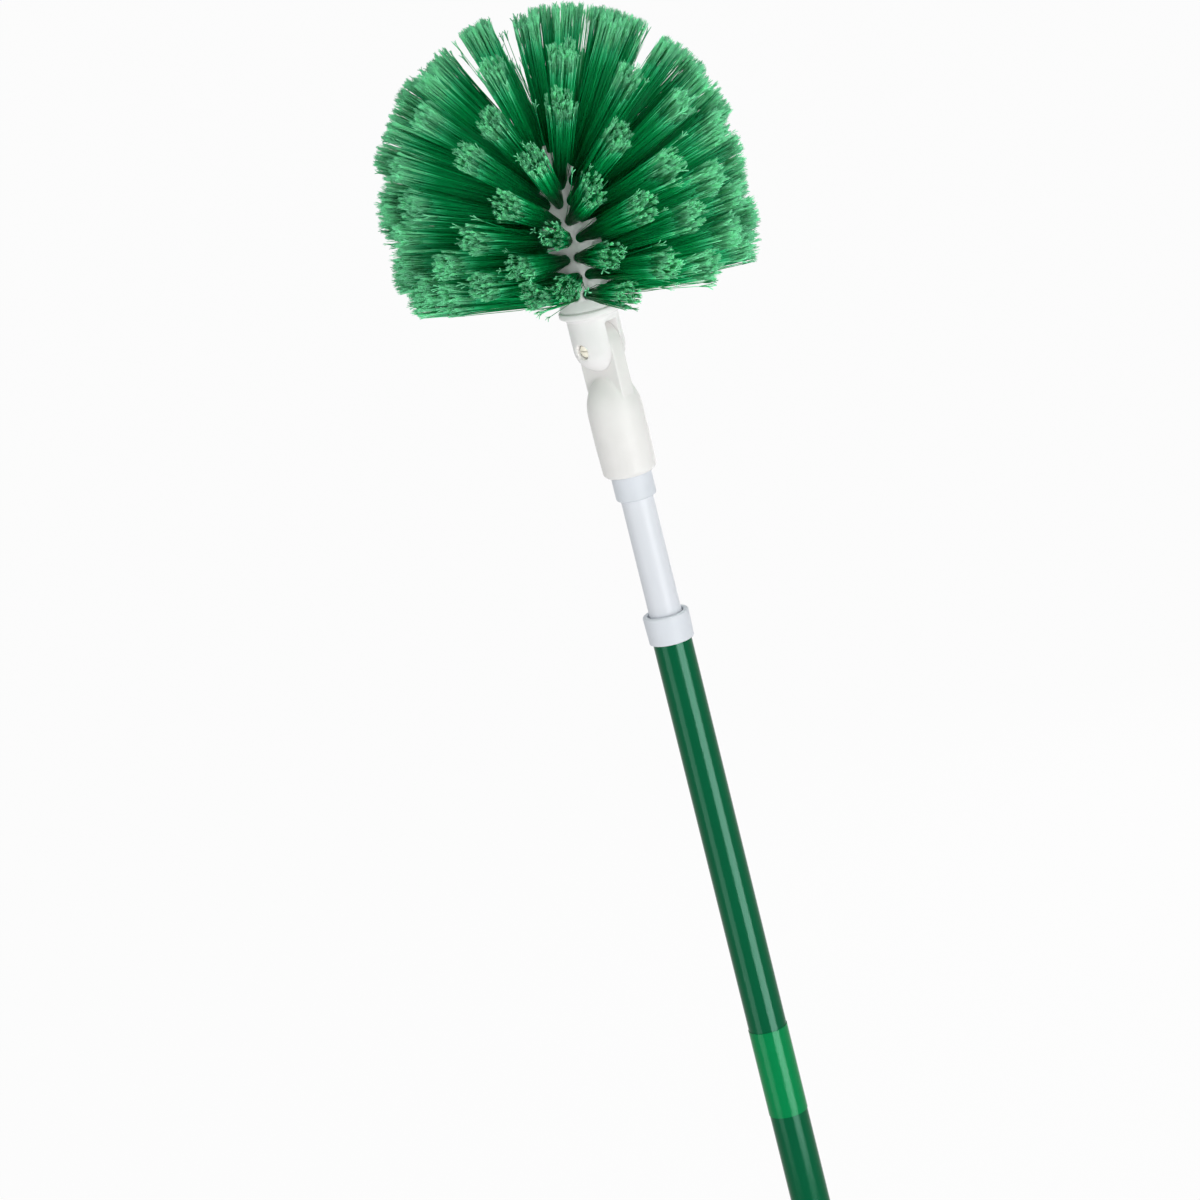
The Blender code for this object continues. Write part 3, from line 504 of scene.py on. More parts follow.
collar = {
    "radius": 0.0132, "skirtRadius": 0.0128, "skirtBore": 0.0114, "mouth": 0.01035,
    "guide": 0.0102, "guideBore": 0.00955, "guideFoot": 0.7663, "foot": 0.7728, "shelf": 0.7846,
    "top": 0.7891, "round": 0.0012, "mouthRound": 0.0006, "skirtRound": 0.0004,
}
mouthCentre = (collar["mouth"] + collar["mouthRound"], collar["top"] - collar["mouthRound"])
outerCollar = turnedRing(
    "outerCollar",
    [
        (collar["guideBore"], collar["shelf"]), (collar["guideBore"], collar["guideFoot"]),
        (collar["guide"], collar["guideFoot"]), (collar["guide"], collar["shelf"]),
        (collar["skirtBore"], collar["shelf"]), (collar["skirtBore"], collar["foot"]),
        *roundFoot(collar["skirtRadius"], collar["foot"], collar["skirtRound"], count=3),
        *roundTop(collar["radius"], collar["top"], collar["round"], count=7),
        *roundedEdge(mouthCentre, collar["mouthRound"], 90, 180, count=4),
        (collar["mouth"], collar["shelf"]), (collar["guideBore"], collar["shelf"]),
    ],
)
dress(outerCollar, "outer_collar", coolAbs, "handle")

# The inner tube's ends are its frame node's
inner = {"radius": 0.00925, "bore": 0.00865}
innerLow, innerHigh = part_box("inner_tube")
innerTube = turnedRing("innerTube", tubeWall(inner["bore"], inner["radius"], innerLow.z, innerHigh.z))
dress(innerTube, "inner_tube", whitePowderCoat, "extension")
print("handle made")


# Threaded tip, with the ferrule that shows below the knuckle

tip = {
    "ferrule": 0.0115, "foot": 0.8575, "ferruleTop": 0.8788, "round": 0.0014,
    "seatBore": 0.00955, "seatTop": 0.8763, "spigot": 0.00835, "spigotFoot": 0.8523,
    "root": 0.0079, "threadTop": 0.9048, "chamfer": 0.0015, "pitch": 0.00508, "turns": 3,
    "toothRadius": 0.0013, "toothRise": 0.0028, "threadSteps": 36,
}
threadedTip = drawnOut(
    "threadedTip",
    [
        (tip["spigot"], tip["spigotFoot"]), (tip["spigot"], tip["seatTop"]),
        (tip["seatBore"], tip["seatTop"]), (tip["seatBore"], tip["foot"]),
        *roundFoot(tip["ferrule"], tip["foot"], tip["round"], count=6),
        *roundTop(tip["ferrule"], tip["ferruleTop"], tip["round"], count=6),
        (tip["root"], tip["ferruleTop"]), (tip["root"], tip["threadTop"] - tip["chamfer"]),
        (tip["root"] - tip["chamfer"], tip["threadTop"]),
    ],
)
# One tooth of the thread's section, turned up round the tip
startFresh()
bpy.ops.mesh.primitive_circle_add(
    vertices=4, radius=tip["toothRadius"], location=(tip["root"], 0, tip["ferruleTop"] + tip["toothRise"]),
    rotation=(math.radians(90), 0, 0), fill_type="NOTHING",
)
thread = settle(bpy.context.object, "thread")
finishModifier(
    thread, "SCREW", screw_offset=tip["pitch"], iterations=tip["turns"],
    steps=tip["threadSteps"], render_steps=tip["threadSteps"], use_merge_vertices=False,
)
pick(thread)
bpy.ops.object.mode_set(mode="EDIT")
bpy.ops.mesh.select_all(action="SELECT")
bpy.ops.mesh.region_to_loop()
bpy.ops.mesh.edge_face_add()
bpy.ops.mesh.select_all(action="SELECT")
bpy.ops.mesh.normals_make_consistent(inside=False)
bpy.ops.object.mode_set(mode="OBJECT")
carve(threadedTip, thread, "UNION")
settle(threadedTip, "threadedTip", angle=40)
dress(threadedTip, "threaded_tip", coolAbs, "extension")
print("threaded tip made")


# Knuckle: the socket with its tongue, and the fork that tilts on it

pivot = {"height": 0.9463, "hole": 0.0028, "nutSides": 6}
socket = {
    "foot": 0.8718, "footRadius": 0.0152, "radius": 0.0156, "round": 0.003, "taperTop": 0.8918,
    "shoulderFoot": 0.9074, "shoulderHeight": 0.0225, "shoulderSteps": 16,
    "counterbore": 0.0118, "counterTop": 0.8791, "bore": 0.0097, "boreTop": 0.9051,
    "tongueHalf": 0.0139, "tongueThick": 0.009, "drillReach": 0.01, "cell": 0.00045, "rounds": 5,
}
shoulder = []
for step in range(socket["shoulderSteps"] + 1):
    turn = math.radians(90 * step / socket["shoulderSteps"])
    height = socket["shoulderFoot"] + socket["shoulderHeight"] * math.sin(turn)
    shoulder.append((socket["radius"] * math.cos(turn) + nearAxis, height))
handleSocket = drawnOut(
    "handleSocket",
    [
        (socket["bore"], socket["boreTop"]), (socket["bore"], socket["counterTop"]),
        (socket["counterbore"], socket["counterTop"]), (socket["counterbore"], socket["foot"]),
        *roundFoot(socket["footRadius"], socket["foot"], socket["round"], count=6),
        (socket["radius"], socket["taperTop"]), *shoulder,
    ],
)
half = socket["tongueThick"] / 2
tongue = crossRod(socket["tongueHalf"], -half, half, pivot["height"], facets["piece"])
tongueRoot = slab(
    (-half, -socket["tongueHalf"], socket["shoulderFoot"]), (half, socket["tongueHalf"], pivot["height"])
)
carve(tongue, tongueRoot, "UNION")
carve(handleSocket, tongue, "UNION")
carve(handleSocket, crossRod(pivot["hole"], -socket["drillReach"], socket["drillReach"], pivot["height"]))
mouldSoft(handleSocket, "handleSocket", socket["cell"], socket["rounds"])
dress(handleSocket, "handle_socket", warmPolypropylene, "extension")

fork = {
    "radius": 0.0146, "ballSteps": 20, "rim": 0.018, "rimHeight": 0.003, "rimRound": 0.0012,
    "flareHeight": 0.0027, "flareSteps": 8, "top": 0.9690, "recessFloor": 0.9653, "recess": 0.0118,
    "slotHalf": 0.0046, "slotTop": 0.9607, "slotReach": 0.03, "slotRound": 0.0012,
    "washerHalf": 0.0057, "washerPocket": 0.0095, "seat": 0.0089, "headSeat": 0.0044, "nutSeat": 0.00497,
    "stemHole": 0.0022, "stemSeat": 0.0039, "stemSeatTop": 0.9638,
    "drillReach": 0.02, "overrun": 0.002, "cell": 0.0004, "rounds": 2,
}
flare = []
for step in range(fork["flareSteps"] + 1):
    share = step / fork["flareSteps"]
    ease = share * share * (3 - 2 * share)
    radius = fork["rim"] + (fork["radius"] - fork["rim"]) * ease
    flare.append((radius, fork["top"] - fork["rimHeight"] - fork["flareHeight"] * share))
rimCentre = (fork["rim"] - fork["rimRound"], fork["top"] - fork["rimRound"])
knuckleFork = drawnOut(
    "knuckleFork",
    [
        (fork["recess"], fork["recessFloor"]), (fork["recess"], fork["top"]),
        *roundedEdge(rimCentre, fork["rimRound"], 90, 0, count=5),
        *flare, *roundedEdge((nearAxis, pivot["height"]), fork["radius"], 0, -90, fork["ballSteps"]),
    ],
)
slot = slab(
    (-fork["slotHalf"], -fork["slotReach"], pivot["height"] - fork["slotReach"]),
    (fork["slotHalf"], fork["slotReach"], fork["slotTop"]), fork["slotRound"],
)
carve(knuckleFork, slot)
for radius, left, right, steps in (
    (fork["washerPocket"], -fork["washerHalf"], fork["washerHalf"], facets["wideBore"]),
    (pivot["hole"], -fork["drillReach"], fork["drillReach"], facets["pin"]),
    (fork["headSeat"], -fork["drillReach"], -fork["seat"], facets["wideBore"]),
    (fork["nutSeat"], fork["seat"], fork["drillReach"], pivot["nutSides"]),
):
    carve(knuckleFork, crossRod(radius, left, right, pivot["height"], steps))
stemFoot = fork["slotTop"] - fork["overrun"]
carve(knuckleFork, uprightRod(fork["stemHole"], stemFoot, fork["recessFloor"] + fork["overrun"]))
carve(knuckleFork, uprightRod(fork["stemSeat"], stemFoot, fork["stemSeatTop"]))
mouldSoft(knuckleFork, "knuckleFork", fork["cell"], fork["rounds"])
dress(knuckleFork, "knuckle_fork", forkPolypropyleneWithPaintedLight, "head")
print("knuckle made")

# The screw is made upright with its seat at zero, then laid along the pivot
screw = {
    "shank": 0.0025, "length": 0.0221, "tipIn": 0.0004, "tipHeight": 0.0005, "seat": 0.0092,
    "head": 0.0043, "headHeight": 0.0026, "edgeIn": 0.0002, "edgeHeight": 0.0003, "headRound": 0.0013,
    "slotWidth": 0.0007, "slotDepth": 0.0008, "slotReach": 0.006, "steps": 64,
}
headCentre = (screw["head"] - screw["headRound"], -screw["headHeight"] + screw["headRound"])
pivotScrew = drawnOut(
    "pivotScrew",
    [
        (screw["shank"] - screw["tipIn"], screw["length"]),
        (screw["shank"], screw["length"] - screw["tipHeight"]), (screw["shank"], 0),
        (screw["head"] - screw["edgeIn"], 0), (screw["head"], -screw["edgeHeight"]),
        *roundedEdge(headCentre, screw["headRound"], 0, -90, count=6),
    ],
    screw["steps"],
)
driverSlot = slab(
    (-screw["slotWidth"] / 2, -screw["slotReach"], -screw["slotReach"]),
    (screw["slotWidth"] / 2, screw["slotReach"], -screw["headHeight"] + screw["slotDepth"]),
)
carve(pivotScrew, driverSlot)
pivotScrew.rotation_euler = (0, math.radians(90), 0)
pivotScrew.location = (-screw["seat"], 0, pivot["height"])
settle(pivotScrew, "pivotScrew")
dress(pivotScrew, "pivot_screw", zincPlate, "head")

nut = {"flatRadius": 0.004, "start": 0.0092, "end": 0.0132, "bore": 0.0028, "overrun": 0.002, "bevel": 0.0003}
nutCorner = nut["flatRadius"] / math.cos(math.radians(180 / pivot["nutSides"]))
pivotNut = crossRod(nutCorner, nut["start"], nut["end"], pivot["height"], pivot["nutSides"])
left, right = nut["start"] - nut["overrun"], nut["end"] + nut["overrun"]
carve(pivotNut, crossRod(nut["bore"], left, right, pivot["height"], facets["narrowBore"]))
finishModifier(pivotNut, "BEVEL", width=nut["bevel"], segments=2, limit_method="ANGLE")
settle(pivotNut, "pivotNut")
dress(pivotNut, "pivot_nut", zincPlate, "head")
print("pivot made")


# Brush block, with a hole for each tuft

block = {
    "foot": 0.9688, "radius": 0.015, "straight": 0.0775, "footRadius": 0.0166, "footHeight": 0.0017,
    "neckHeight": 0.0062, "noseSteps": 14, "stem": 0.0115, "stemFoot": 0.9656,
    "pilot": 0.0022, "pilotFoot": 0.960, "pilotTop": 0.984, "firstRow": 0.0095, "rowPitch": 0.0105,
    "holeMouth": 0.0031, "holeFloor": 0.0023, "holeDepth": 0.0048, "holeOverrun": 0.003, "holeSteps": 20,
    "crownBundle": 0.8, "aside": -11, "cell": 0.0005, "rounds": 3,
}

# The rows, lowest first: lean above level, number of tufts, turn of the first from -Y towards +X
tuftRows = (
    (8.5, 12, 0), (7.0, 12, 15), (10.0, 12, 0), (13.0, 12, 15), (17.5, 12, 0),
    (24.0, 12, 15), (38.0, 12, 0), (52.0, 10, 11), (67.5, 5, -34),
)
crownRow = len(tuftRows) - 1


def blockSurface(arc):
    # Radius and height of the block at a length along its profile
    if arc <= block["straight"]:
        return block["radius"], block["foot"] + arc
    slope = min((arc - block["straight"]) / block["radius"], math.pi / 2)
    height = block["foot"] + block["straight"] + block["radius"] * math.sin(slope)
    return block["radius"] * math.cos(slope), height


def tuftPlace(row, index):
    # Where a tuft leaves the block, which way it points, and level and upright directions across it
    lean, count, first = tuftRows[row]
    turn = math.radians(first + 360 / count * index + block["aside"])
    radius, height = blockSurface(block["firstRow"] + block["rowPitch"] * row)
    out = Vector((math.sin(turn), -math.cos(turn), 0))
    along = out * math.cos(math.radians(lean)) + Vector((0, 0, math.sin(math.radians(lean))))
    across = Vector((math.cos(turn), math.sin(turn), 0))
    return out * radius + Vector((0, 0, height)), along, across, across.cross(along)


def bundleSize(row):
    # The crown's bundles are thinner than the rows'
    return block["crownBundle"] if row == crownRow else 1.0


noseCentre = (nearAxis, block["foot"] + block["straight"])
brushBlock = drawnOut(
    "brushBlock",
    [
        (block["stem"], block["stemFoot"]), (block["stem"], block["foot"]),
        (block["footRadius"], block["foot"]), (block["footRadius"], block["foot"] + block["footHeight"]),
        (block["radius"], block["foot"] + block["neckHeight"]),
        *roundedEdge(noseCentre, block["radius"], 0, 90, block["noseSteps"]),
    ],
)
borer = rod(
    block["holeFloor"], (0, 0, -block["holeDepth"]), (0, 0, block["holeOverrun"]),
    block["holeSteps"], block["holeMouth"],
)
bores = []
for row in range(len(tuftRows)):
    size = bundleSize(row)
    for index in range(tuftRows[row][1]):
        mouth, along, across, rise = tuftPlace(row, index)
        bore = addObject("bore", borer.data.copy())
        turned = Matrix((across, rise, along)).transposed().to_4x4() @ Matrix.Diagonal((size, size, 1, 1))
        bore.matrix_world = Matrix.Translation(mouth) @ turned
        bores.append(bore)
bpy.data.objects.remove(borer, do_unlink=True)
pick(bores[0])
for bore in bores:
    bore.select_set(True)
bpy.ops.object.join()
finishModifier(brushBlock, "BOOLEAN", operation="DIFFERENCE", object=bores[0], solver="EXACT", use_self=True)
bpy.data.objects.remove(bores[0], do_unlink=True)
carve(brushBlock, uprightRod(block["pilot"], block["pilotFoot"], block["pilotTop"]))
mouldSoft(brushBlock, "brushBlock", block["cell"], block["rounds"])
dress(brushBlock, "brush_block", blockPolypropyleneWithPaintedLight, "head")
print("brush block made")


# Camera, at the photograph's angle. Its frame is halfFrame pixels from the middle to a side.

view = {
    "azimuth": -42, "elevation": 15, "roll": 14.08, "distance": 2.6, "side": 0.0338, "aim": 0.805,
    "angle": 14.7, "sensor": 36, "halfFrame": 600,
}


def makeCamera():
    turn, lift = math.radians(view["azimuth"]), math.radians(view["elevation"])
    back = Vector((math.sin(turn) * math.cos(lift), -math.cos(turn) * math.cos(lift), math.sin(lift)))
    right = Vector((math.cos(turn), math.sin(turn), 0))
    facing = Matrix((right, back.cross(right), back)).transposed().to_4x4()
    pose = facing @ Matrix.Rotation(-math.radians(view["roll"]), 4, "Z")
    pose.translation = Vector((0, 0, view["aim"])) - right * view["side"] + back * view["distance"]
    lens = bpy.data.cameras.new("camera")
    lens.sensor_width = view["sensor"]
    lens.lens = view["sensor"] / 2 / math.tan(math.radians(view["angle"] / 2))
    camera = addObject("camera", lens)
    camera.matrix_world = pose
    bpy.context.scene.camera = camera
    return pose


cameraPose = makeCamera()
print("camera placed")


# Tufts of split-tip filament

bristle = {
    "stem": 0.00022, "hair": 0.0002, "hairEnd": 0.00019, "split": 0.84, "fluff": 0.0010, "hairs": 4,
    "perTuft": 165, "rootSpread": 0.0023, "rootDepth": 0.004, "spreadAcross": 0.0074, "spreadUp": 0.0088,
    "trimRadius": 0.1034, "trimCrown": 0.0974, "trimCentre": 1.0413, "uneven": 0.0006, "bow": 0.0010,
    "shades": 48, "locks": 56, "lockPull": 0.95, "lockUneven": 0.0020, "paleHalf": 0.009,
    "hiddenSpread": 1.15,
}

# One filament of unit height: heights on it, how far its hairs part as shares of the fluff, and their turn
filamentShape = {
    "stemMiddle": 0.4, "neck": 0.95, "overlap": 0.01, "hairMiddle": 0.92, "middleStep": 0.015,
    "hairTop": 0.973, "topStep": 0.009, "rootPart": 0.5, "middlePart": 0.4, "topPart": 1.35,
    "topPartStep": 0.25, "curl": 0.5, "firstTurn": 0.1, "parting": 0.6, "puffStart": 0.02,
}

# How a tuft's filaments vary: places as shares of its spread, and strays as a share of their number
habit = {
    "seed": 40, "seedTurn": 2.39996, "anyTurn": 6.28, "rootJitter": 0.04,
    "ovalLobe": 0.16, "threeLobe": 0.14, "lockReach": 1.1, "farLocks": 0.07, "farReach": 1.35,
    "weakPull": 0.7, "strongPull": 1.1, "strays": 0.04, "strayAcross": 0.6, "strayUp": 0.5, "endJitter": 0.03,
    "narrow": 0.9, "wide": 1.1, "lockShade": 0.75, "leastFluff": 0.2, "mostFluff": 0.8, "strayFluff": 1.4,
    "latestSplit": 0.35, "earliestSplit": 1.1, "trimMargin": 0.0004,
}

# Where the hidden tufts point, off their holes' lines: degrees to the side, and metres of lift
hiddenAim = {
    "aside": -2.5, "asideVaries": 1.6, "lift": 0.003, "swing": 0.005, "swingTurn": 132, "liftVaries": 0.0018,
}

# How far lines are followed to the dome, and in how many steps
search = {"sight": 0.25, "sightSteps": 2001, "farthest": 0.2, "halvings": 26}

# The painted length back from the tip, and the room that each shade takes in the map for painting
paintMap = {"length": 0.09, "shadeWidth": 0.6, "edge": 0.02, "height": 0.96}

# Where the photograph shows the pale end of a tuft, in its pixels, by row and by the turn of the tuft's place
seenEnds = {
    0: {-120: (424, 303), -90: (455, 301), -60: (536.5, 299), -30: (627, 296), 0: (706, 266)},
    1: {-105: (430, 290), -75: (484, 286.5), -45: (566.6, 289), -15: (665, 266), 15: (728, 233)},
    2: {
        -120: (410, 268), -90: (448.7, 266), -60: (520, 270), -30: (610.5, 255), 0: (690, 216.6),
        30: (731, 198),
    },
    3: {
        -105: (408, 241), -75: (473.4, 241), -45: (553, 237), -15: (643, 208), 15: (709, 178),
        45: (730, 155),
    },
    4: {
        -120: (394, 205), -90: (415.8, 211), -60: (507.7, 207), -30: (592.7, 190.6), 0: (668, 167),
        30: (714, 129),
    },
    5: {
        -105: (403, 170), -75: (469, 159), -45: (533.7, 161.8), -15: (617, 137), 15: (679, 107),
        45: (695, 82),
    },
    6: {
        -120: (398, 133), -90: (426.8, 118), -60: (492.6, 124.8), -30: (561, 106), 0: (627, 79.5),
        30: (667, 52),
    },
    7: {-133: (412, 92), -97: (432, 82), -61: (494, 74), -25: (564, 58), 11: (612, 31)},
    8: {-106: (478, 34), -34: (525.5, 30), 38: (571, 14)},
}
# And where its outline, at the upper right, shows tufts that stand behind those
behindEnds = {
    4: {60: (716, 106)}, 6: {60: (690, 66), 90: (626, 42)}, 7: {47: (629, 24), 83: (606, 13)},
}


def insideDome(points, shrink=0.0):
    # Below one inside the trimmed dome, above one outside it
    over = np.maximum(points[:, 2] - bristle["trimCentre"], 0)
    level = np.hypot(points[:, 0], points[:, 1]) ** 2 / (bristle["trimRadius"] - shrink) ** 2
    return level + over ** 2 / (bristle["trimCrown"] - shrink) ** 2


def pointSeen(x, y, first=True):
    # Where the line of sight through a pixel of the photograph first or last meets the tufts' pale ends.
    # If it misses them, it gives the point where the line passes nearest.
    half = math.tan(math.radians(view["angle"] / 2)) / view["halfFrame"]
    sight = cameraPose.to_3x3() @ Vector(((x - view["halfFrame"]) * half, (view["halfFrame"] - y) * half, -1))
    near, far = view["distance"] - search["sight"], view["distance"] + search["sight"]
    distances = np.linspace(near, far, search["sightSteps"])
    points = np.array(cameraPose.translation) + distances[:, None] * np.array(sight)
    depth = insideDome(points, bristle["paleHalf"])
    inside = np.nonzero(depth <= 1)[0]
    return points[inside[0 if first else -1] if len(inside) else depth.argmin()]


def trimReach(start, along):
    # How far lines run from their starts before they meet the trimmed dome
    low = np.zeros(len(start))
    high = np.full(len(start), search["farthest"])
    for _ in range(search["halvings"]):
        middle = (low + high) / 2
        point = start + along * middle[:, None]
        outside = insideDome(point) > 1
        low, high = np.where(outside, low, middle), np.where(outside, middle, high)
    return low


def makeHair(index):
    # One of the hairs at a filament's end, each longer and less parted than the last
    shape = filamentShape
    turn = math.tau * (index / bristle["hairs"] + shape["firstTurn"])
    out = Vector((math.cos(turn), math.sin(turn)))
    aside = Vector((-out.y, out.x)) * bristle["fluff"] * shape["curl"]
    near = bristle["stem"] * shape["rootPart"] * out
    middle = bristle["fluff"] * shape["middlePart"] * out
    far = bristle["fluff"] * (shape["topPart"] - shape["topPartStep"] * index) * out + aside
    return drawnOut(
        "hair",
        [
            (bristle["hair"], bristle["split"] - shape["overlap"], *near),
            (bristle["hair"], shape["hairMiddle"] + shape["middleStep"] * index, *middle),
            (bristle["hairEnd"], shape["hairTop"] + shape["topStep"] * index, *far),
        ],
        steps=3,
    )


def makePattern():
    # One filament, a unit high: a three-sided stem, then finer hairs that part from it into a star
    neck = (bristle["stem"] * filamentShape["neck"], bristle["split"])
    stem = drawnOut(
        "filament", [(bristle["stem"], 0), (bristle["stem"], filamentShape["stemMiddle"]), neck], steps=3
    )
    hairs = [makeHair(index) for index in range(bristle["hairs"])]
    pick(stem)
    for hair in hairs:
        hair.select_set(True)
    bpy.ops.object.join()
    bpy.ops.object.mode_set(mode="EDIT")
    bpy.ops.mesh.select_all(action="SELECT")
    bpy.ops.mesh.quads_convert_to_tris()
    bpy.ops.object.mode_set(mode="OBJECT")
    return stem


pattern = makePattern()
patternPoints = np.array([vertex.co[:] for vertex in pattern.data.vertices])
patternFaces = np.array([face.vertices[:] for face in pattern.data.polygons])
bpy.data.objects.remove(pattern, do_unlink=True)


def gatherLocks(chance, across, up):
    # The ends gather in small locks, and a few filaments stray
    locks, amount = bristle["locks"], len(across)
    lockTurn = chance.uniform(0, math.tau, locks)
    oval = habit["ovalLobe"] * np.cos(2 * lockTurn + chance.uniform(0, habit["anyTurn"]))
    three = habit["threeLobe"] * np.cos(3 * lockTurn + chance.uniform(0, habit["anyTurn"]))
    lockReach = np.sqrt(chance.uniform(0, habit["lockReach"], locks)) * (1 + oval + three)
    lockReach = lockReach * np.where(chance.random(locks) < habit["farLocks"], habit["farReach"], 1)
    lockAcross, lockUp = lockReach * np.cos(lockTurn), lockReach * np.sin(lockTurn)
    nearest = ((across[:, None] - lockAcross) ** 2 + (up[:, None] - lockUp) ** 2).argmin(1)
    pull = bristle["lockPull"] * chance.uniform(habit["weakPull"], habit["strongPull"], locks)[nearest]
    across = across + (lockAcross[nearest] - across) * pull
    up = up + (lockUp[nearest] - up) * pull
    stray = chance.random(amount) < habit["strays"]
    jitter = habit["endJitter"]
    across = across + np.where(
        stray, chance.normal(0, habit["strayAcross"], amount), chance.normal(0, jitter, amount)
    )
    up = up + np.where(stray, chance.normal(0, habit["strayUp"], amount), chance.normal(0, jitter, amount))
    drop = chance.uniform(0, 2 * bristle["lockUneven"], locks)[nearest]
    shade = chance.random(locks)[nearest]
    return across, up, stray, drop, shade


def aimTuft(chance, row, turn, mouth, along, across):
    # Where a tuft's middle meets the dome: at its place in the photograph, if it has one
    reach = trimReach(mouth[None, :], along[None, :])[0]
    pixel = seenEnds[row].get(turn) or behindEnds.get(row, {}).get(turn)
    if pixel:
        towards = pointSeen(*pixel, turn in seenEnds[row]) - mouth
        return mouth + towards * (reach / np.linalg.norm(towards))
    # Out of sight the tufts lie a little round and up from their holes' lines too
    aside = math.radians(chance.normal(hiddenAim["aside"] - block["aside"], hiddenAim["asideVaries"]))
    swing = hiddenAim["swing"] * math.cos(math.radians(turn + hiddenAim["swingTurn"]))
    lift = hiddenAim["lift"] + swing + chance.normal(0, hiddenAim["liftVaries"])
    return mouth + along * reach + across * reach * aside + np.array([0, 0, lift])


def growTuft(chance, row, index):
    # Roots, tips, rolls, shades, fluffs, splits and bows of one tuft's filaments
    _, count, first = tuftRows[row]
    mouth, along, across, rise = (np.array(part) for part in tuftPlace(row, index))
    turn = round((first + 360 / count * index + 180) % 360 - 180)
    amount = bristle["perTuft"]
    # The root bundle is a disc, packed as a sunflower's seeds are
    seed = np.arange(amount)
    distance = np.sqrt((seed + 0.5) / amount)
    seedTurn = seed * habit["seedTurn"] + chance.uniform(0, habit["anyTurn"])
    level = distance * np.cos(seedTurn) + chance.normal(0, habit["rootJitter"], amount)
    upright = distance * np.sin(seedTurn) + chance.normal(0, habit["rootJitter"], amount)
    bundle = bristle["rootSpread"] * bundleSize(row)
    root = mouth - along * bristle["rootDepth"] + bundle * (level[:, None] * across + upright[:, None] * rise)
    level, upright, stray, drop, lockShade = gatherLocks(chance, level, upright)
    room = 1.0 if turn in seenEnds[row] else bristle["hiddenSpread"]
    wide = bristle["spreadAcross"] * chance.uniform(habit["narrow"], habit["wide"]) * room
    high = bristle["spreadUp"] * chance.uniform(habit["narrow"], habit["wide"]) * room
    aim = aimTuft(chance, row, turn, mouth, along, across)
    way = aim + wide * level[:, None] * across + high * upright[:, None] * rise - root
    way /= np.linalg.norm(way, axis=1)[:, None]
    uneven = np.abs(chance.normal(0, bristle["uneven"], amount))
    length = trimReach(root, way) - uneven - drop - habit["trimMargin"]
    roll = chance.uniform(0, math.tau, amount)
    mixed = habit["lockShade"] * lockShade + (1 - habit["lockShade"]) * chance.random(amount)
    shade = (np.floor(mixed * bristle["shades"]) + 0.5) / bristle["shades"]
    fluff = chance.uniform(habit["leastFluff"], habit["mostFluff"], amount)
    fluff = fluff + stray * chance.uniform(habit["leastFluff"], habit["strayFluff"], amount)
    split = chance.uniform(habit["latestSplit"], habit["earliestSplit"], amount)
    bow = chance.normal(0, bristle["bow"], (amount, 2))
    return root, root + way * length[:, None], roll, shade, fluff, split, bow


def bendPattern(root, end, roll, fluff, split, bow):
    # Every filament is a copy of the pattern, turned, bent and stretched from its root to its end.
    # Gives their points, and how far back from its filament's end each lies.
    way = end - root
    length = np.linalg.norm(way, axis=1)
    way /= length[:, None]
    # No filament runs along this slant, so it gives each one a side
    slant = np.array([0.3, 0.2, 1.0])
    side = np.cross(way, slant)
    side /= np.linalg.norm(side, axis=1)[:, None]
    up = np.cross(way, side)
    # Each filament parts at a length of its own
    rise = patternPoints[:, 2]
    height = np.where(rise > filamentShape["parting"], 1 - (1 - rise) * split[:, None], rise)
    puffed = np.where(rise > bristle["split"] + filamentShape["puffStart"], fluff[:, None], 1.0)
    x, y = patternPoints[:, 0] * puffed, patternPoints[:, 1] * puffed
    cos, sin = np.cos(roll)[:, None], np.sin(roll)[:, None]
    bend = np.sin(np.clip(height, 0, 1) * math.pi)
    level = x * cos - y * sin + bend * bow[:, :1]
    upright = x * sin + y * cos + bend * bow[:, 1:]
    points = (
        root[:, None, :] + way[:, None, :] * (height[:, :, None] * length[:, None, None])
        + side[:, None, :] * level[:, :, None] + up[:, None, :] * upright[:, :, None]
    ).reshape(-1, 3)
    return points, (1 - height) * length[:, None]


def buildMesh(name, points, faces):
    mesh = bpy.data.meshes.new(name)
    mesh.vertices.add(len(points))
    mesh.vertices.foreach_set("co", points.ravel())
    mesh.loops.add(faces.size)
    mesh.loops.foreach_set("vertex_index", faces.ravel())
    mesh.polygons.add(len(faces))
    mesh.polygons.foreach_set("loop_start", np.arange(0, faces.size, 3))
    mesh.update(calc_edges=True)
    mesh.validate()
    return mesh


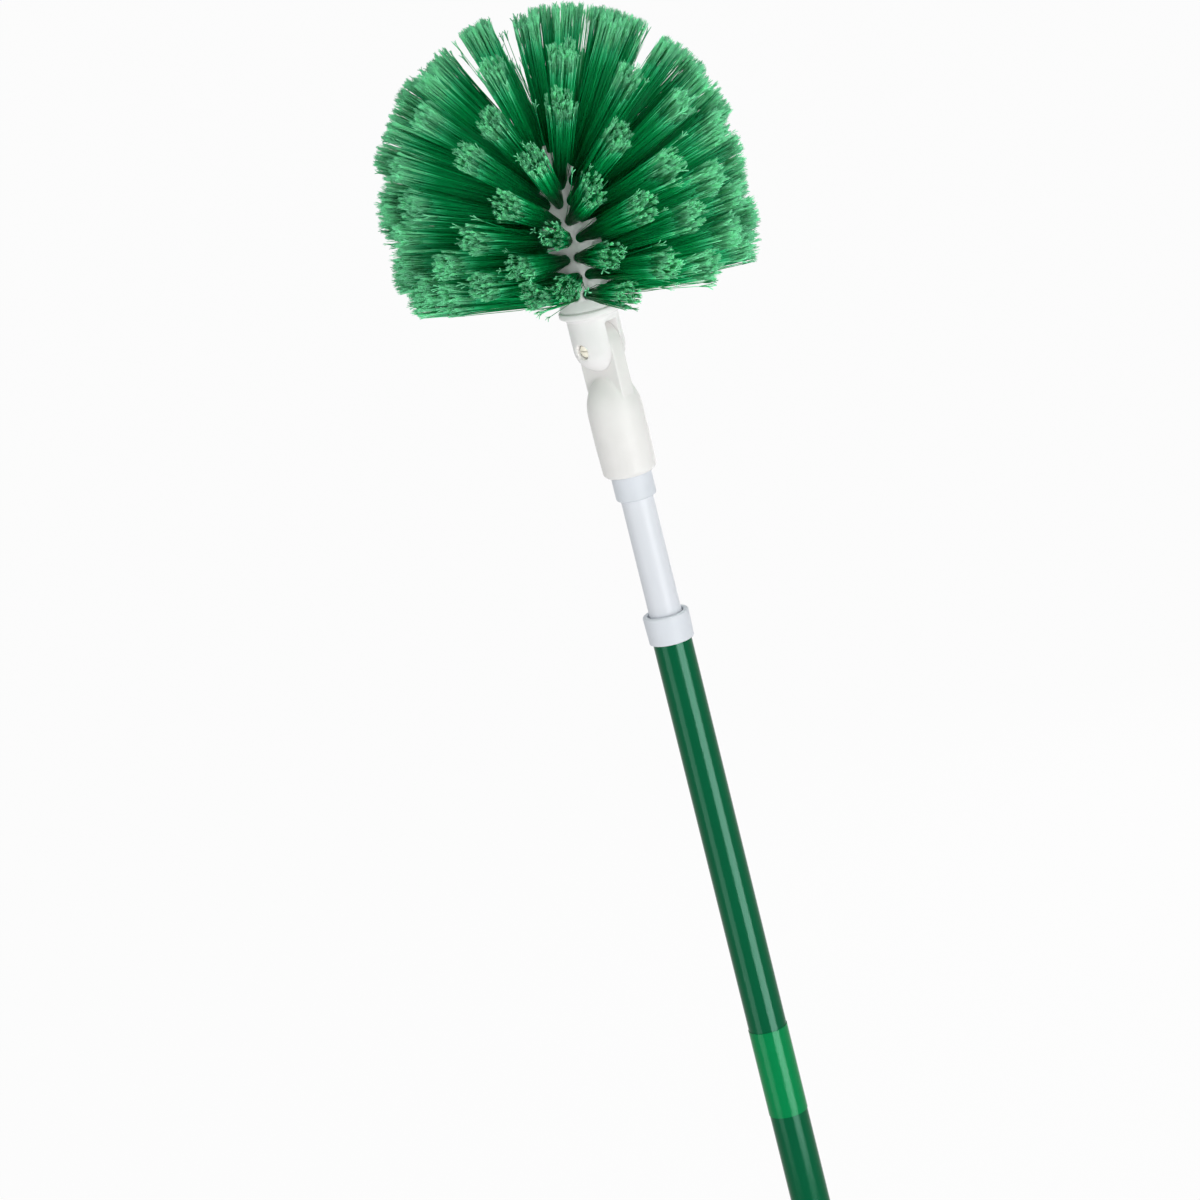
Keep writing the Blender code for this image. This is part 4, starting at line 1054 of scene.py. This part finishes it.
def growRow(row, name, node):
    # All filaments of a row, in one mesh
    chance = np.random.default_rng(habit["seed"] + row)
    tufts = [growTuft(chance, row, index) for index in range(tuftRows[row][1])]
    root, end, roll, shade, fluff, split, bow = (np.concatenate(parts) for parts in zip(*tufts))
    points, back = bendPattern(root, end, roll, fluff, split, bow)
    firsts = np.arange(len(root)) * len(patternPoints)
    faces = (patternFaces[None, :, :] + firsts[:, None, None]).reshape(-1, 3)
    mesh = buildMesh(name, points, faces)
    # Each point's place, one at the tip and zero where the painted length ends, and its filament's shade
    place = np.clip(1 - back / paintMap["length"], 0, 1).astype(np.float32).ravel()
    tone = np.repeat(shade.astype(np.float32), len(patternPoints))
    mesh.attributes.new("along", "FLOAT", "POINT").data.foreach_set("value", place)
    mesh.attributes.new("shade", "FLOAT", "POINT").data.foreach_set("value", tone)
    # A map for painting: shade across, place along
    corners = faces.ravel()
    offset = np.tile(np.arange(3), len(faces)) / 2 - 0.5
    across = tone[corners] + offset * paintMap["shadeWidth"] / bristle["shades"]
    along = paintMap["edge"] + paintMap["height"] * place[corners]
    flat = mesh.uv_layers.new(name="OFBake")
    flat.data.foreach_set("uv", np.column_stack([across, along]).astype(np.float32).ravel())
    return dress(addObject(name, mesh), node, splitTipFilament, "head")


for row in range(crownRow):
    growRow(row, f"tuftsRow{row + 1}", f"tuft_row_{row + 1}")
    print("tufts grown: row", row + 1)
growRow(crownRow, "tuftsCrown", "tuft_crown")
print("tufts grown: crown")


# Pieces that are out of sight keep the frame's own shapes

hiddenFinishes = {
    "lock_plug": greyAcetal, "lock_ring": greyAcetal, "lock_washer": greyAcetal, "lock_screw": zincPlate,
    "friction_washer_left": greyAcetal, "friction_washer_right": greyAcetal, "stem_screw": zincPlate,
}
for name, finish in hiddenFinishes.items():
    for holder in nodes[name].material_slots:
        holder.material = finish
print("hidden pieces dressed")


# Studio

studio = {
    "floorSize": 60, "floorCuts": 3, "floorGrey": (0.9, 0.9, 0.9, 1), "floorGlow": 0.93,
    "worldLight": 0.66, "white": (1, 1, 1, 1), "aim": 0.85,
}
lamps = {
    "key": {"place": (-0.93, -1.83, 0.9), "size": (1.1, 1.3), "power": 16},
    "back": {"place": (2.0, 0.75, 0.9), "size": (1.1, 1.3), "power": 4},
}

# Cards that show only as streaks in glossy paint. They turn from -Y towards +X.
cards = {
    "rightCard": {"turn": -7, "distance": 1.15, "width": 0.82, "height": 1.9, "power": 140},
    "leftCard": {"turn": -99, "distance": 1.15, "width": 0.62, "height": 1.9, "power": 26},
}


def startTree(holder):
    holder.use_nodes = True
    holder.node_tree.nodes.clear()
    return holder.node_tree


def rayShows(tree):
    # One for a ray that shows what it meets, straight or by a mirror or glass, and zero for scattered light
    path = addNode(tree, "ShaderNodeLightPath")
    shows = path.outputs["Is Camera Ray"]
    for kind in ("Is Glossy Ray", "Is Transmission Ray"):
        larger = addNode(tree, "ShaderNodeMath", {"operation": "MAXIMUM"}, i0=shows, i1=path.outputs[kind])
        shows = larger.outputs[0]
    return shows


def endTree(tree, factor, first, second, outputKind):
    mixed = addNode(tree, "ShaderNodeMixShader", None, i0=factor, i1=first.outputs[0], i2=second.outputs[0])
    output = addNode(tree, outputKind)
    tree.links.new(mixed.outputs[0], output.inputs[0])


def makeFloor():
    startFresh()
    bpy.ops.mesh.primitive_plane_add(size=studio["floorSize"], location=(0, 0, 0))
    floor = bpy.context.object
    floor.name = "floor"
    bpy.ops.object.mode_set(mode="EDIT")
    bpy.ops.mesh.subdivide(number_cuts=studio["floorCuts"])
    bpy.ops.object.mode_set(mode="OBJECT")
    paper = bpy.data.materials.new("paleFloor")
    tree = startTree(paper)
    share = addNode(
        tree, "ShaderNodeMath", {"operation": "MULTIPLY"}, i0=rayShows(tree), i1=studio["floorGlow"]
    ).outputs[0]
    matt = addNode(tree, "ShaderNodeBsdfDiffuse", None, Color=studio["floorGrey"])
    glow = addNode(tree, "ShaderNodeEmission", None, Color=studio["white"], Strength=1.0)
    endTree(tree, share, matt, glow, "ShaderNodeOutputMaterial")
    floor.data.materials.append(paper)


def makeWorld():
    world = bpy.data.worlds.new("studioWorld")
    tree = startTree(world)
    shows = rayShows(tree)
    dim = addNode(tree, "ShaderNodeBackground", None, Color=studio["white"], Strength=studio["worldLight"])
    full = addNode(tree, "ShaderNodeBackground", None, Color=studio["white"], Strength=1.0)
    endTree(tree, shows, dim, full, "ShaderNodeOutputWorld")
    bpy.context.scene.world = world


def softLamp(name, place, size, power, aim=studio["aim"]):
    lamp = bpy.data.lights.new(name, "AREA")
    lamp.shape = "RECTANGLE"
    lamp.size, lamp.size_y = size
    lamp.energy = power
    holder = addObject(name, lamp)
    holder.location = place
    holder.rotation_euler = (Vector((0, 0, aim)) - Vector(place)).to_track_quat("-Z", "Y").to_euler()
    holder.visible_camera = False
    return holder


def standCard(name, turn, distance, width, height, power):
    angle = math.radians(turn)
    place = (distance * math.sin(angle), -distance * math.cos(angle), height / 2)
    softLamp(name, place, (width, height), power, height / 2).visible_diffuse = False


makeFloor()
makeWorld()
for name, settings in lamps.items():
    softLamp(name, **settings)
for name, settings in cards.items():
    standCard(name, **settings)
print("studio set")


bpy.context.scene.view_settings.view_transform = "Standard"

bpy.context.view_layer.update()
